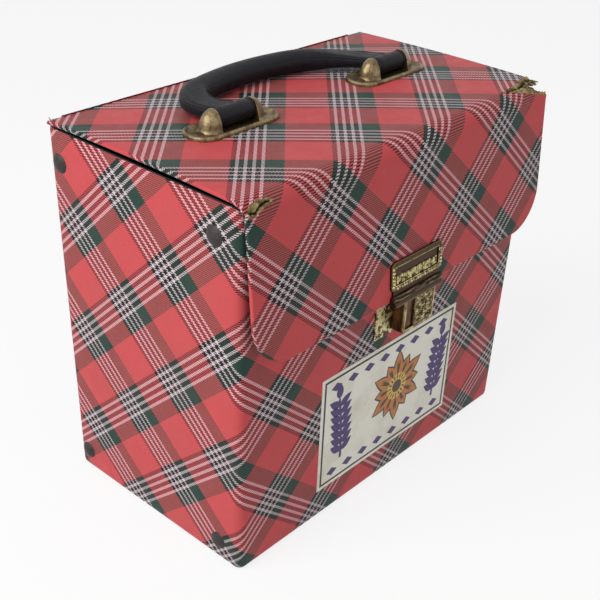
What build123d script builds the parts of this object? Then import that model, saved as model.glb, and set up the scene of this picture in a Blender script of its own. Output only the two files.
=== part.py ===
from build123d import *
import os
from math import asin, cos, radians, sin, sqrt

os.makedirs("parts", exist_ok=True)

# The origin is the centre of the base's underside: X to the right, Y to the back, Z up.
# Body: a blank of covered fibreboard folded into an open box, with doubled ends
body_width = 217.5
body_depth = 124.6
body_height = 193.6
board = 2.2
corner_radius = 4.5
base_radius = 4.0
end_dip = 1.2
stiffener = 1.8
stiffener_drop = 3.0
lining = 0.4
lining_drop = 6.0
fit_gap = 0.3
slip = 0.05
bore_reach = 8.0

# Lid: one bent board, a crowned top that runs into a flap over the front
lid_width = 219.5
lid_shift = 1.75
lid_gap = 0.4
crown_radius = 2000.0
lid_front_rise = 0.6
bend_radius = 9.0
flap_lean = 5.0
flap_standoff = 3.4
flap_length = 68.4
flap_corner = 23.0
lid_rear_round = 2.0
lid_lining_inset = 7.0
fold_strip = 0.5
fold_gap = 0.1
fold_strip_drop = 12.0

# Rivets through the doubled ends
end_rivet_head = 9.6
end_rivet_dome = 2.0
end_rivet_shank = 3.2
end_rivet_front_inset = 15.0
end_rivet_back_inset = 8.0
end_rivet_bottom = 12.5
end_rivet_top = 178.0
clinch_lip = 1.0
clinch_thick = 0.5

# Handle plates with their ears, and the pins between the ears
handle_pitch = 110.4
handle_back = -0.8
plate_length = 50.0
plate_width = 21.0
plate_end = 8.0
plate_shoulder = 24.0
plate_web = 1.0
plate_rim = 0.9
plate_rim_width = 1.8
plate_corner = 4.5
plate_edge = 0.6
plate_rivet_pitch = 38.0
plate_rivet_head = 5.4
plate_rivet_shank = 3.0
plate_rivet_dome = 0.7
ear_radius = 6.0
ear_gap = 19.0
pin_radius = 1.5
pin_seat = 4.0
pin_height = 5.6
backing_thick = 1.0
backing_inset = 2.0
backing_corner = 4.0

# Handle: a padded leather grip whose strap ends loop round the pins
loop_radius = 4.2
loop_length = 18.0
loop_edge = 0.5
tab_reach = 3.0
strap_start = 5.5
strap_width = 15.0
strap_thick = 5.4
shoulder_width = 14.0
shoulder_thick = 8.0
grip_width = 12.2
grip_thick = 11.4
shoulder_splay = 32.0
shoulder_radius = 18.0
shoulder_arc_degrees = 106.0
grip_radius = 130.0
grip_arc_degrees = 26.0
core_width = 5.0

# Hasp on the flap
hasp_width = 40.0
hasp_height = 15.0
hasp_thick = 1.2
hasp_corner = 2.5
hasp_rise = 5.5
hasp_rim = 2.6
hasp_recess = 0.5
hasp_edge = 0.4
lip_width = 37.0
lip_radius = 1.6
lip_drop = 1.3
tongue_width = 12.0
tongue_thick = 1.0
tongue_depth = 5.5
tongue_shift = 1.25
tongue_gap = 0.7
tongue_drop = 0.4
hasp_rivet_pitch = 28.0
hasp_rivet_head = 3.6
hasp_rivet_shank = 2.0
hasp_rivet_dome = 0.4
hasp_backing_margin = 4.0
hasp_backing_round = 2.0

# Lock on the front board
lock_centre = 9.25
lock_width = 25.0
lock_depth = 7.2
lock_height = 21.2
lock_clear = 3.24
lock_wall = 0.8
lock_front_wall = 1.6
lock_round = 1.4
lock_frame = 2.0
lock_field = 0.8
lock_plate_width = 38.5
lock_plate_height = 20.7
lock_plate_drop = 1.7
lock_plate_centre = 3.0
lock_plate_thick = 0.8
lock_rivet_pitch = 16.0
lock_rivet_head = 4.4
lock_rivet_dome = 0.8
lock_plate_corner = 1.0
lock_rivet_rise = 5.0
button_width = 14.5
button_proud = 0.5
button_corner = 0.8
button_edge = 0.35
button_travel = 4.5
neck_width = 5.0
neck_height = 5.0
carriage_height = 9.0
carriage_thick = 0.8
carriage_inset = 2.0
nose_width = 1.6
nose_overlap = 3.0
slot_front = 1.3
spring_drop = 2.0
spring_radius = 1.5
spring_wire = 0.45
spring_turns = 3

# Paper label on the front
label_width = 110.0
label_height = 69.0
label_bottom = 18.5
label_shift = 1.75
label_thick = 0.2

# Places worked out from the sizes above
front = -body_depth / 2
back = body_depth / 2
side = body_width / 2
lid_rear_z = body_height + lid_gap + board
lid_front_z = lid_rear_z + lid_front_rise
bend_y = front - flap_standoff + bend_radius
bend_z = lid_front_z - bend_radius
lean = radians(flap_lean)
outward = (-cos(lean), sin(lean))
downward = (-sin(lean), -cos(lean))
flap_foot_y = bend_y + bend_radius * outward[0] + flap_length * downward[0]
flap_foot_z = bend_z + bend_radius * outward[1] + flap_length * downward[1]
chord_y = (back + bend_y) / 2
chord_z = (lid_rear_z + lid_front_z) / 2
chord_half = sqrt((back - bend_y) ** 2 + lid_front_rise**2) / 2
chord_depth = sqrt(crown_radius**2 - chord_half**2)
crown_y = chord_y - chord_depth * lid_front_rise / (2 * chord_half)
crown_z = chord_z - chord_depth * (back - bend_y) / (2 * chord_half)
seat_z = crown_z + crown_radius
pin_z = seat_z + pin_height
end_rivet_y = (front + end_rivet_front_inset, back - end_rivet_back_inset)
end_rivet_z = (end_rivet_bottom, end_rivet_top)
inner_side = side - board - stiffener
plate_centres = (lid_shift - handle_pitch / 2, lid_shift + handle_pitch / 2)
lock_plate_face = front - lock_plate_thick
lock_face = lock_plate_face - lock_depth
lock_top = flap_foot_z - lock_clear
lock_bottom = lock_top - lock_height
lock_plate_bottom = lock_bottom - lock_plate_drop
lock_rivet_height = lock_bottom + lock_rivet_rise
tongue_top = lock_top + tongue_drop
tongue_face = lock_plate_face - tongue_gap - tongue_thick
tongue_centre = lock_centre + tongue_shift
nose_right = tongue_centre - tongue_width / 2 - fit_gap
nose_left = nose_right - nose_width


def block(x0, x1, y0, y1, z0, z1):
    """A box between two corners."""
    return Pos((x0 + x1) / 2, (y0 + y1) / 2, (z0 + z1) / 2) * Box(x1 - x0, y1 - y0, z1 - z0)


def rod(start, direction, radius, length):
    """A cylinder that begins at a point and runs along a direction."""
    return Plane(start, z_dir=direction) * Cylinder(
        radius, length, align=(Align.CENTER, Align.CENTER, Align.MIN)
    )


def group(solids):
    """Separate solids of one node."""
    return Compound(children=[solid for shape in solids for solid in shape.solids()])


def lid_top(y):
    """The height of the lid's outer face at a depth."""
    return crown_z + sqrt(crown_radius**2 - (y - crown_y) ** 2)


def save(name, shape):
    """Write one node."""
    shape.label = name
    export_step(shape, f"parts/{name}.step")


def tubular_rivet(face, direction, head, dome, shank, grip):
    """A domed rivet: its head sits on the face and its clinched end lies beyond the grip."""
    rim = head / 2
    ball = (rim**2 + dome**2) / (2 * dome)
    half_turn = asin(rim / ball) / 2
    middle = (ball * sin(half_turn), ball - dome - ball * cos(half_turn))
    stem = shank / 2
    end = grip + clinch_thick
    profile = [
        ThreePointArc((0, -dome), middle, (rim, 0)),
        Polyline(
            (rim, 0), (stem, 0), (stem, grip), (stem + clinch_lip, grip), (stem + clinch_lip, end), (0, end)
        ),
        Line((0, end), (0, -dome)),
    ]
    return Plane(face, z_dir=direction) * revolve(Plane.XZ * make_face(profile), Axis.Z)


# Body pieces


def end_rivet_places():
    """Each rivet's side, and its height and depth on the end board."""
    return [(sign, y, z) for sign in (-1, 1) for y in end_rivet_y for z in end_rivet_z]


def end_rivet_holes():
    """Bores through both boards of each end."""
    return [
        rod((sign * (side + bore_reach), y, z), (-sign, 0, 0), end_rivet_shank / 2, 2 * bore_reach)
        for sign, y, z in end_rivet_places()
    ]


def lock_rivet_places():
    """The lock rivets' X positions."""
    return (lock_centre - lock_rivet_pitch / 2, lock_centre + lock_rivet_pitch / 2)


def lock_rivet_holes():
    """Bores through the lock plate, the front board, its lining and the backing."""
    return [
        rod((x, front - bore_reach, lock_rivet_height), (0, 1, 0), hasp_rivet_shank / 2, 2 * bore_reach)
        for x in lock_rivet_places()
    ]


def body_shell():
    """The folded board: front, base, back and both ends, open at the top."""
    outer = block(-side, side, front, back, 0, body_height)
    outer = fillet(outer.edges().filter_by(Axis.Z), corner_radius)
    outer = fillet(outer.faces().sort_by(Axis.Z)[0].edges(), base_radius)
    inner = block(-side + board, side - board, front + board, back - board, board, body_height + 1)
    inner = fillet(inner.edges().filter_by(Axis.Z), corner_radius - board)
    inner = fillet(inner.faces().sort_by(Axis.Z)[0].edges(), base_radius - board)
    shell = outer - inner
    dip_radius = ((body_depth / 2) ** 2 + end_dip**2) / (2 * end_dip)
    dip = rod((-side - 1, 0, body_height - end_dip + dip_radius), (1, 0, 0), dip_radius, body_width + 2)
    shell -= dip
    relief = block(-side - 1, side + 1, front - 1, bend_y, bend_z, body_height + 1)
    relief_radius = bend_radius - board - lining - fit_gap
    relief -= rod((-side - 1, bend_y, bend_z), (1, 0, 0), relief_radius, body_width + 2)
    shell -= relief
    for hole in end_rivet_holes() + lock_rivet_holes():
        shell -= hole
    return shell


def end_stiffener(sign):
    """The inner board that doubles one end."""
    outer_x = sign * (side - board)
    inner_x = sign * inner_side
    y0 = front + corner_radius + fit_gap
    y1 = back - corner_radius - fit_gap
    z0 = base_radius + fit_gap
    z1 = body_height - end_dip - stiffener_drop
    panel = block(min(outer_x, inner_x), max(outer_x, inner_x), y0, y1, z0, z1)
    panel = fillet(panel.edges().filter_by(Axis.X), corner_radius)
    for hole in end_rivet_holes():
        panel -= hole
    return panel


def body_lining():
    """Black paper inside the front, the base and the back."""
    half = side - corner_radius - fit_gap
    top = body_height - end_dip - lining_drop
    outer = block(-half, half, front + board, back - board, board, top)
    outer = fillet(outer.faces().sort_by(Axis.Z)[0].edges().filter_by(Axis.X), base_radius - board)
    inner = block(-half - 1, half + 1, front + board + lining, back - board - lining, board + lining, top + 1)
    inner = fillet(
        inner.faces().sort_by(Axis.Z)[0].edges().filter_by(Axis.X), base_radius - board - lining
    )
    paper = outer - inner
    for hole in lock_rivet_holes():
        paper -= hole
    return paper


def end_rivets(sign):
    """Four domed rivets of one end."""
    grip = board + stiffener
    return group(
        tubular_rivet(
            (place * side, y, z), (-place, 0, 0), end_rivet_head, end_rivet_dome, end_rivet_shank, grip
        )
        for place, y, z in end_rivet_places()
        if place == sign
    )


def front_label():
    """A paper label on the front board."""
    x0 = label_shift - label_width / 2
    x1 = label_shift + label_width / 2
    return block(x0, x1, front - label_thick, front, label_bottom, label_bottom + label_height)


# Lock pieces


def lock_plate():
    """The flat base plate that lies on the front board."""
    x0 = lock_plate_centre - lock_plate_width / 2
    x1 = lock_plate_centre + lock_plate_width / 2
    z1 = lock_plate_bottom + lock_plate_height
    plate = block(x0, x1, lock_plate_face, front, lock_plate_bottom, z1)
    plate = fillet(plate.edges().filter_by(Axis.Y), lock_plate_corner)
    for hole in lock_rivet_holes():
        plate -= hole
    return plate


def neck_centre():
    """The neck's X position at rest, in the middle of the button."""
    return lock_centre + lock_width / 2 - lock_frame - fit_gap - button_width / 2


def lock_case():
    """The drawn case over the lock: a framed front, a slot for the button and one for the tongue."""
    x0 = lock_centre - lock_width / 2
    x1 = lock_centre + lock_width / 2
    case = block(x0, x1, lock_face, lock_plate_face, lock_bottom, lock_top)
    case = fillet(case.edges().filter_by(Axis.Y), lock_round)
    case = fillet(case.faces().sort_by(Axis.Y)[0].edges(), lock_round / 2)
    case -= block(
        x0 + lock_wall,
        x1 - lock_wall,
        lock_face + lock_front_wall,
        lock_plate_face,
        lock_bottom + lock_wall,
        lock_top - lock_wall,
    )
    case -= block(
        x0 + lock_frame,
        x1 - lock_frame,
        lock_face,
        lock_face + lock_field,
        lock_bottom + lock_frame,
        lock_top - lock_frame,
    )
    middle = (lock_bottom + lock_top) / 2
    case -= block(
        neck_centre() - neck_width / 2 - fit_gap - button_travel,
        neck_centre() + neck_width / 2 + fit_gap,
        lock_face,
        lock_face + lock_front_wall,
        middle - neck_height / 2 - fit_gap,
        middle + neck_height / 2 + fit_gap,
    )
    case -= block(
        tongue_centre - tongue_width / 2 - 2 * fit_gap,
        tongue_centre + tongue_width / 2 + 2 * fit_gap,
        lock_face + slot_front,
        lock_plate_face,
        lock_top - lock_wall,
        lock_top,
    )
    return case


def lock_slide():
    """The thumb button, its neck, and the carriage whose nose keeps the tongue."""
    centre = neck_centre()
    middle = (lock_bottom + lock_top) / 2
    half_height = lock_height / 2 - lock_frame - fit_gap
    field_y = lock_face + lock_field - slip
    button = block(
        centre - button_width / 2,
        centre + button_width / 2,
        lock_face - button_proud,
        field_y,
        middle - half_height,
        middle + half_height,
    )
    button = fillet(button.edges().filter_by(Axis.Y), button_corner)
    button = chamfer(button.faces().sort_by(Axis.Y)[0].edges(), button_edge)
    back_y = lock_face + lock_front_wall + slip
    neck = block(
        centre - neck_width / 2,
        centre + neck_width / 2,
        field_y,
        back_y,
        middle - neck_height / 2,
        middle + neck_height / 2,
    )
    carriage_y = back_y + carriage_thick
    carriage = block(
        centre - button_width / 2 + carriage_inset,
        centre + button_width / 2,
        back_y,
        carriage_y,
        middle - carriage_height / 2,
        middle + carriage_height / 2,
    )
    arm = block(
        nose_left,
        centre,
        back_y,
        carriage_y,
        middle + carriage_height / 2 - nose_width,
        middle + carriage_height / 2,
    )
    nose = block(
        nose_left,
        nose_right,
        back_y,
        tongue_face + tongue_thick,
        middle + carriage_height / 2 - nose_width,
        tongue_top - tongue_depth + nose_overlap,
    )
    return button + neck + carriage + arm + nose


def lock_spring():
    """The return spring between the case's left wall and the carriage."""
    start = lock_centre - lock_width / 2 + lock_wall
    end = neck_centre() - button_width / 2 + carriage_inset
    length = end - start - spring_wire
    middle_y = lock_face + lock_front_wall + slip + spring_radius + spring_wire / 2
    middle_z = (lock_bottom + lock_top) / 2 - spring_drop
    coil = Helix(length / spring_turns, length, spring_radius)
    wire = Plane(coil @ 0, z_dir=coil % 0) * RegularPolygon(spring_wire / 2, 6)
    return Plane((start + spring_wire / 2, middle_y, middle_z), z_dir=(1, 0, 0)) * sweep(wire, path=coil)


def lock_rivets():
    """Two rivets that hold the lock plate to the front board."""
    grip = lock_plate_thick + board + lining + backing_thick
    return group(
        tubular_rivet(
            (x, lock_plate_face, lock_rivet_height),
            (0, 1, 0),
            lock_rivet_head,
            lock_rivet_dome,
            hasp_rivet_shank,
            grip,
        )
        for x in lock_rivet_places()
    )


def lock_backing():
    """The steel strip inside the front board."""
    y0 = front + board + lining
    margin = hasp_backing_margin
    x0 = lock_centre - lock_rivet_pitch / 2 - margin
    x1 = lock_centre + lock_rivet_pitch / 2 + margin
    z0 = lock_rivet_height - margin
    z1 = lock_rivet_height + margin
    strip = block(x0, x1, y0, y0 + backing_thick, z0, z1)
    strip = fillet(strip.edges().filter_by(Axis.Y), hasp_backing_round)
    for hole in lock_rivet_holes():
        strip -= hole
    return strip


# Lid pieces


def lid_band(depth, thick, rear_y, flap_trim):
    """A strip of the lid's profile: how deep it lies under the outer face, and how thick it is."""

    def arc_point(radius, angle):
        return (bend_y - radius * sin(angle), bend_z + radius * cos(angle))

    turn = radians(90 - flap_lean)
    outer = bend_radius - depth
    inner = outer - thick
    run = flap_length - flap_trim
    foot = [
        (arc_point(r, turn)[0] + run * downward[0], arc_point(r, turn)[1] + run * downward[1])
        for r in (outer, inner)
    ]
    edges = [
        ThreePointArc((rear_y, lid_top(rear_y) - depth), (0, lid_top(0) - depth), arc_point(outer, 0)),
        ThreePointArc(arc_point(outer, 0), arc_point(outer, turn / 2), arc_point(outer, turn)),
        Line(arc_point(outer, turn), foot[0]),
        Line(foot[0], foot[1]),
        Line(foot[1], arc_point(inner, turn)),
        ThreePointArc(arc_point(inner, turn), arc_point(inner, turn / 2), arc_point(inner, 0)),
        ThreePointArc(
            arc_point(inner, 0),
            (0, lid_top(0) - depth - thick),
            (rear_y, lid_top(rear_y) - depth - thick),
        ),
        Line((rear_y, lid_top(rear_y) - depth - thick), (rear_y, lid_top(rear_y) - depth)),
    ]
    return Plane.YZ * make_face(edges)


def lid_sheet(depth, thick, rear_y, flap_trim, width, corner):
    """That strip made as wide as asked, with the flap's corners rounded."""
    sheet = extrude(lid_band(depth, thick, rear_y, flap_trim), width / 2, both=True)
    foot_edges = [
        edge
        for edge in sheet.edges()
        if abs(edge.length - thick) < 0.01 and edge.center().Z < bend_z - flap_length / 2
    ]
    return Pos(lid_shift, 0, 0) * fillet(foot_edges, corner)


def plate_rivet_places():
    """The handle plates' rivets."""
    return [
        (centre + step * plate_rivet_pitch / 2, handle_back)
        for centre in plate_centres
        for step in (-1, 1)
    ]


def plate_rivet_holes():
    """Bores through the handle plates, the lid, its lining and the backings."""
    return [
        rod((x, y, seat_z + bore_reach), (0, 0, -1), plate_rivet_shank / 2, 2 * bore_reach)
        for x, y in plate_rivet_places()
    ]


def flap_plane(rise):
    """A plane on the flap's outer face: its X is the part's X, its Y runs up the flap."""
    y = flap_foot_y - rise * downward[0]
    z = flap_foot_z - rise * downward[1]
    return Plane((lid_shift, y, z), x_dir=(1, 0, 0), z_dir=(0, outward[0], outward[1]))


def hasp_rivet_rise():
    """How far the hasp rivets are above the flap's foot."""
    return hasp_rise + hasp_height / 2


def hasp_rivet_holes():
    """Bores through the hasp, the flap, its lining and the backing."""
    base = flap_plane(hasp_rivet_rise())
    return [
        base * Pos(step * hasp_rivet_pitch / 2, 0, 0) * Cylinder(hasp_rivet_shank / 2, 2 * bore_reach)
        for step in (-1, 1)
    ]


def lid_board():
    """The bent lid board."""
    lid = lid_sheet(0, board, back, 0, lid_width, flap_corner)
    rear = [edge for edge in lid.edges().filter_by(Axis.X) if edge.center().Y > back - 0.01]
    lid = fillet([max(rear, key=lambda edge: edge.center().Z)], lid_rear_round)
    for hole in plate_rivet_holes() + hasp_rivet_holes():
        lid -= hole
    return lid


def lid_lining():
    """Black paper inside the lid and the flap."""
    rear_y = back - board - lid_lining_inset
    width = lid_width - 2 * lid_lining_inset
    paper = lid_sheet(board, lining, rear_y, lid_lining_inset, width, flap_corner - lid_lining_inset)
    for hole in plate_rivet_holes() + hasp_rivet_holes():
        paper -= hole
    return paper


def hinge_fold():
    """The covering where it folds over the back edge, which is the lid's hinge."""
    near = lid_rear_round + fold_gap
    far = near + fold_strip
    y = back - lid_rear_round
    z = lid_rear_z - lid_rear_round
    foot = body_height - fold_strip_drop
    edges = [
        Line((y + near, foot), (y + far, foot)),
        Line((y + far, foot), (y + far, z)),
        ThreePointArc((y + far, z), (y + far * sqrt(0.5), z + far * sqrt(0.5)), (y, z + far)),
        Line((y, z + far), (y, z + near)),
        ThreePointArc((y, z + near), (y + near * sqrt(0.5), z + near * sqrt(0.5)), (y + near, z)),
        Line((y + near, z), (y + near, foot)),
    ]
    return extrude(Plane.YZ * make_face(edges), side - 2 * corner_radius, both=True)


def handle_plate(centre):
    """A cast plate: a rimmed lozenge with two bell-shaped ears."""
    half = plate_length / 2
    wide = plate_width / 2
    outline = Polyline(
        (-half, -plate_end / 2),
        (-plate_shoulder / 2, -wide),
        (plate_shoulder / 2, -wide),
        (half, -plate_end / 2),
        (half, plate_end / 2),
        (plate_shoulder / 2, wide),
        (-plate_shoulder / 2, wide),
        (-half, plate_end / 2),
        close=True,
    )
    lozenge = fillet(make_face(outline).vertices(), plate_corner)
    plate = extrude(lozenge, plate_web + plate_rim)
    plate = chamfer(plate.faces().sort_by(Axis.Z)[-1].edges(), plate_edge)
    plate -= Pos(0, 0, plate_web) * extrude(offset(lozenge, -plate_rim_width), plate_rim + 1)
    for sign in (-1, 1):
        ear = Pos(0, 0, pin_height) * Sphere(ear_radius)
        ear += Cylinder(ear_radius, pin_height, align=(Align.CENTER, Align.CENTER, Align.MIN))
        ear &= Pos(sign * ear_radius, 0, 0) * Box(
            2 * ear_radius,
            2 * ear_radius,
            pin_height + ear_radius,
            align=(Align.CENTER, Align.CENTER, Align.MIN),
        )
        plate += Pos(sign * ear_gap / 2, 0, 0) * ear
    seat = rod((-ear_gap / 2 - pin_seat, 0, pin_height), (1, 0, 0), pin_radius, ear_gap + 2 * pin_seat)
    plate = Pos(centre, handle_back, seat_z) * (plate - seat)
    for hole in plate_rivet_holes():
        plate -= hole
    return plate


def handle_pin(centre):
    """The bar between the two ears of a plate."""
    length = ear_gap + 2 * pin_seat
    return rod((centre - length / 2, handle_back, pin_z), (1, 0, 0), pin_radius, length)


def plate_rivets(centre):
    """Two rivets of a handle plate."""
    top = seat_z + plate_web
    grip = top - backing_foot()
    return group(
        tubular_rivet((x, y, top), (0, 0, -1), plate_rivet_head, plate_rivet_dome, plate_rivet_shank, grip)
        for x, y in plate_rivet_places()
        if abs(x - centre) < plate_length / 2
    )


def backing_foot():
    """The height of the backings' underside, level below the crowned lining."""
    wide = plate_width / 2 - backing_inset
    lowest = min(lid_top(handle_back - wide), lid_top(handle_back + wide))
    return lowest - board - lining - backing_thick


def handle_backing(centre):
    """The steel strip under the lid that a handle plate is riveted to."""
    half = plate_length / 2 - backing_inset
    wide = plate_width / 2 - backing_inset
    strip = block(
        centre - half,
        centre + half,
        handle_back - wide,
        handle_back + wide,
        backing_foot(),
        backing_foot() + backing_thick,
    )
    strip = fillet(strip.edges().filter_by(Axis.Z), backing_corner)
    for hole in plate_rivet_holes():
        strip -= hole
    return strip


# Hasp pieces


def hasp():
    """The stamped plate on the flap, its rolled lip, and the tongue that drops into the lock."""
    base = flap_plane(hasp_rise + hasp_height / 2)
    plate = Box(hasp_width, hasp_height, hasp_thick, align=(Align.CENTER, Align.CENTER, Align.MIN))
    plate = fillet(plate.edges().filter_by(Axis.Z), hasp_corner)
    plate = chamfer(plate.faces().sort_by(Axis.Z)[-1].edges(), hasp_edge)
    plate -= Pos(0, 0, hasp_thick - hasp_recess) * Box(
        hasp_width - 2 * hasp_rim,
        hasp_height - 2 * hasp_rim,
        hasp_recess,
        align=(Align.CENTER, Align.CENTER, Align.MIN),
    )
    plate = base * plate
    web_height = hasp_rise + lip_drop
    web = flap_plane((hasp_rise - lip_drop) / 2) * Box(
        lip_width, web_height, tongue_thick, align=(Align.CENTER, Align.CENTER, Align.MIN)
    )
    lip_place = flap_plane(-lip_drop).origin + Vector(0, outward[0], outward[1]) * lip_radius
    lip = rod(lip_place - Vector(lip_width / 2, 0, 0), (1, 0, 0), lip_radius, lip_width)
    lip = chamfer(lip.edges(), hasp_edge)
    stamping = plate + web + lip
    for hole in hasp_rivet_holes():
        stamping -= hole
    arm = block(
        tongue_centre - tongue_width / 2,
        tongue_centre + tongue_width / 2,
        lip_place.Y,
        tongue_face + tongue_thick,
        tongue_top,
        tongue_top + tongue_thick,
    )
    tongue = block(
        tongue_centre - tongue_width / 2,
        tongue_centre + tongue_width / 2,
        tongue_face,
        tongue_face + tongue_thick,
        tongue_top - tongue_depth,
        tongue_top + tongue_thick,
    )
    return stamping + arm + tongue


def hasp_rivets():
    """Two small rivets in the hasp's recess."""
    grip = hasp_thick - hasp_recess + board + lining + backing_thick
    base = flap_plane(hasp_rivet_rise())
    inward = Vector(0, -outward[0], -outward[1])
    face = hasp_thick - hasp_recess
    return group(
        tubular_rivet(
            (base * Pos(step * hasp_rivet_pitch / 2, 0, face)).position,
            inward,
            hasp_rivet_head,
            hasp_rivet_dome,
            hasp_rivet_shank,
            grip,
        )
        for step in (-1, 1)
    )


def hasp_backing():
    """The steel strip inside the flap."""
    base = flap_plane(hasp_rivet_rise()) * Pos(0, 0, -board - lining - backing_thick)
    strip = Box(
        hasp_rivet_pitch + 2 * hasp_backing_margin,
        2 * hasp_backing_margin,
        backing_thick,
        align=(Align.CENTER, Align.CENTER, Align.MIN),
    )
    strip = base * fillet(strip.edges().filter_by(Axis.Z), hasp_backing_round)
    for hole in hasp_rivet_holes():
        strip -= hole
    return strip


# Handle pieces


def handle_arcs():
    """The centreline in the handle's own plane: X along the case, Y away from the pins."""
    half = handle_pitch / 2
    splay = radians(shoulder_splay)
    shoulder = JernArc(
        (-half, strap_start),
        (-sin(splay), cos(splay)),
        radius=shoulder_radius,
        arc_size=-shoulder_arc_degrees,
    )
    crown = JernArc(shoulder @ 1, shoulder % 1, radius=grip_radius, arc_size=-grip_arc_degrees)
    far = TangentArc(crown @ 1, (half, strap_start), tangent=crown % 1)
    return shoulder, crown, far


def across(path, place, width, thick):
    """An oval section square to the centreline."""
    along = path % place
    plane = Plane(path @ place, x_dir=(-along.Y, along.X, 0), z_dir=along)
    return plane * Ellipse(width / 2, thick / 2)


def strap_tab(sign, path, place):
    """The flat leather between a loop and the end of its strap."""
    middle = sign * handle_pitch / 2
    half = loop_length / 2
    along = path % place
    offset_across = strap_width / 2 * Vector(-along.Y, along.X)
    near, far = sorted((path @ place + offset_across, path @ place - offset_across), key=lambda p: p.X)
    corners = [
        (middle - half, 0),
        (middle - half, tab_reach),
        (near.X, near.Y),
        (far.X, far.Y),
        (middle + half, tab_reach),
        (middle + half, 0),
    ]
    return extrude(make_face(Polyline(*corners, close=True)), strap_thick / 2, both=True)


def handle_place():
    """Where the handle's plane lies at rest: flat, leaning back from the pins."""
    return Pos(lid_shift, handle_back, pin_z)


def handle_core():
    """The stiff core inside the grip."""
    crown = handle_arcs()[1]
    start = Plane(crown @ 0, z_dir=crown % 0)
    return handle_place() * sweep(start * Circle(core_width / 2), path=crown)


def handle_grip():
    """The leather cover: a round grip between two flat straps that end in loops."""
    shoulder, crown, far = handle_arcs()
    strap = (strap_width, strap_thick)
    middle = (shoulder_width, shoulder_thick)
    round_grip = (grip_width, grip_thick)
    grip = sweep(across(crown, 0, *round_grip), path=crown)
    grip += strap_tab(-1, shoulder, 0) + strap_tab(1, far, 1)
    for path, sizes in ((shoulder, (strap, middle, round_grip)), (far, (round_grip, middle, strap))):
        sections = [across(path, index / 2, *size) for index, size in enumerate(sizes)]
        grip += sweep(sections, path=path, multisection=True)
    for sign in (-1, 1):
        start = (sign * handle_pitch / 2 - loop_length / 2, 0, 0)
        grip += chamfer(rod(start, (1, 0, 0), loop_radius, loop_length).edges(), loop_edge)
        grip -= rod(start, (1, 0, 0), pin_radius + slip, loop_length)
    return handle_place() * grip - handle_core()


nodes = {
    "body_shell": body_shell(),
    "left_end_stiffener": end_stiffener(-1),
    "right_end_stiffener": end_stiffener(1),
    "body_lining": body_lining(),
    "left_end_rivets": end_rivets(-1),
    "right_end_rivets": end_rivets(1),
    "front_label": front_label(),
    "lock_plate": lock_plate(),
    "lock_case": lock_case(),
    "lock_slide": lock_slide(),
    "lock_spring": lock_spring(),
    "lock_rivets": lock_rivets(),
    "lock_backing": lock_backing(),
    "lid_board": lid_board(),
    "lid_lining": lid_lining(),
    "hinge_fold": hinge_fold(),
    "hasp": hasp(),
    "hasp_rivets": hasp_rivets(),
    "hasp_backing": hasp_backing(),
    "handle_grip": handle_grip(),
    "handle_core": handle_core(),
}
for name, centre in zip(("left", "right"), plate_centres):
    nodes[f"{name}_handle_plate"] = handle_plate(centre)
    nodes[f"{name}_handle_pin"] = handle_pin(centre)
    nodes[f"{name}_plate_rivets"] = plate_rivets(centre)
    nodes[f"{name}_handle_backing"] = handle_backing(centre)

for name, shape in nodes.items():
    save(name, shape)
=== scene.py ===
"""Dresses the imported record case: its plaid covering, lid, handle, lock, label and the stage."""

import math
import random

import bpy
from bpy.props import FloatProperty, FloatVectorProperty, IntProperty, PointerProperty
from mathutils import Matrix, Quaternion, Vector, noise


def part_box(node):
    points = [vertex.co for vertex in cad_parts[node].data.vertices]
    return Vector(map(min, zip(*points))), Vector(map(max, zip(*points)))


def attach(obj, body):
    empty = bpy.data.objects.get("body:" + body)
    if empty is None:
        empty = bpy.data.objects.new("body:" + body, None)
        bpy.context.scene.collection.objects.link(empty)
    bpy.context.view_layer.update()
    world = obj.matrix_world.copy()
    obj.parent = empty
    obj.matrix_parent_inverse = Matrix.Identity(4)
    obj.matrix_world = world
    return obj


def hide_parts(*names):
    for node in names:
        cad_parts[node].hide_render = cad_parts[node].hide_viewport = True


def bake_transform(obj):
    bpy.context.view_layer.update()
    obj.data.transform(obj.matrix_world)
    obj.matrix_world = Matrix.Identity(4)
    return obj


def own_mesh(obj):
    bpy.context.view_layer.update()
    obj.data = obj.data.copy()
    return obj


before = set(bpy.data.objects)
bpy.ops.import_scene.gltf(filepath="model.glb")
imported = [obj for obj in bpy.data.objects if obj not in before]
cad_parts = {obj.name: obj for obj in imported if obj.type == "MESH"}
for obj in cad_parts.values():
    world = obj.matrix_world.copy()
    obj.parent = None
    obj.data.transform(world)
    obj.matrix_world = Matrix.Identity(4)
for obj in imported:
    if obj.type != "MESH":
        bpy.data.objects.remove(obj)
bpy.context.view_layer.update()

bl_info = {
    "name": "Record Case Dresser",
    "version": (1, 0, 0),
    "blender": (4, 5, 0),
    "location": "3D View > Sidebar > Record Case",
    "description": "Builds the finished surfaces of a plaid record case over its packed frame",
    "category": "Object",
}

BODY_LOW, BODY_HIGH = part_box("body_shell")
LID_LOW, LID_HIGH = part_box("lid_board")
LABEL_LOW, LABEL_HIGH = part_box("front_label")
LOCK_LOW, LOCK_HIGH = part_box("lock_case")
BUTTON_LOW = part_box("lock_slide")[0]
PINS = [sum(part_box(f"{side}_handle_pin"), Vector()) / 2 for side in ("left", "right")]


# Colours and settings


def paint(red, green, blue):
    """A colour given as on a screen, from 0 to 255, as the linear values that Blender keeps."""
    shares = [channel / 255 for channel in (red, green, blue)]
    return [share / 12.92 if share < 0.04045 else ((share + 0.055) / 1.055) ** 2.4 for share in shares]


def size(label, about, default):
    """A length in metres."""
    return FloatProperty(name=label, description=about, default=default, unit="LENGTH", precision=5)


def angle(label, about, degrees):
    """An angle, given in degrees."""
    return FloatProperty(
        name=label, description=about, default=math.radians(degrees), subtype="ANGLE", unit="ROTATION"
    )


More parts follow.
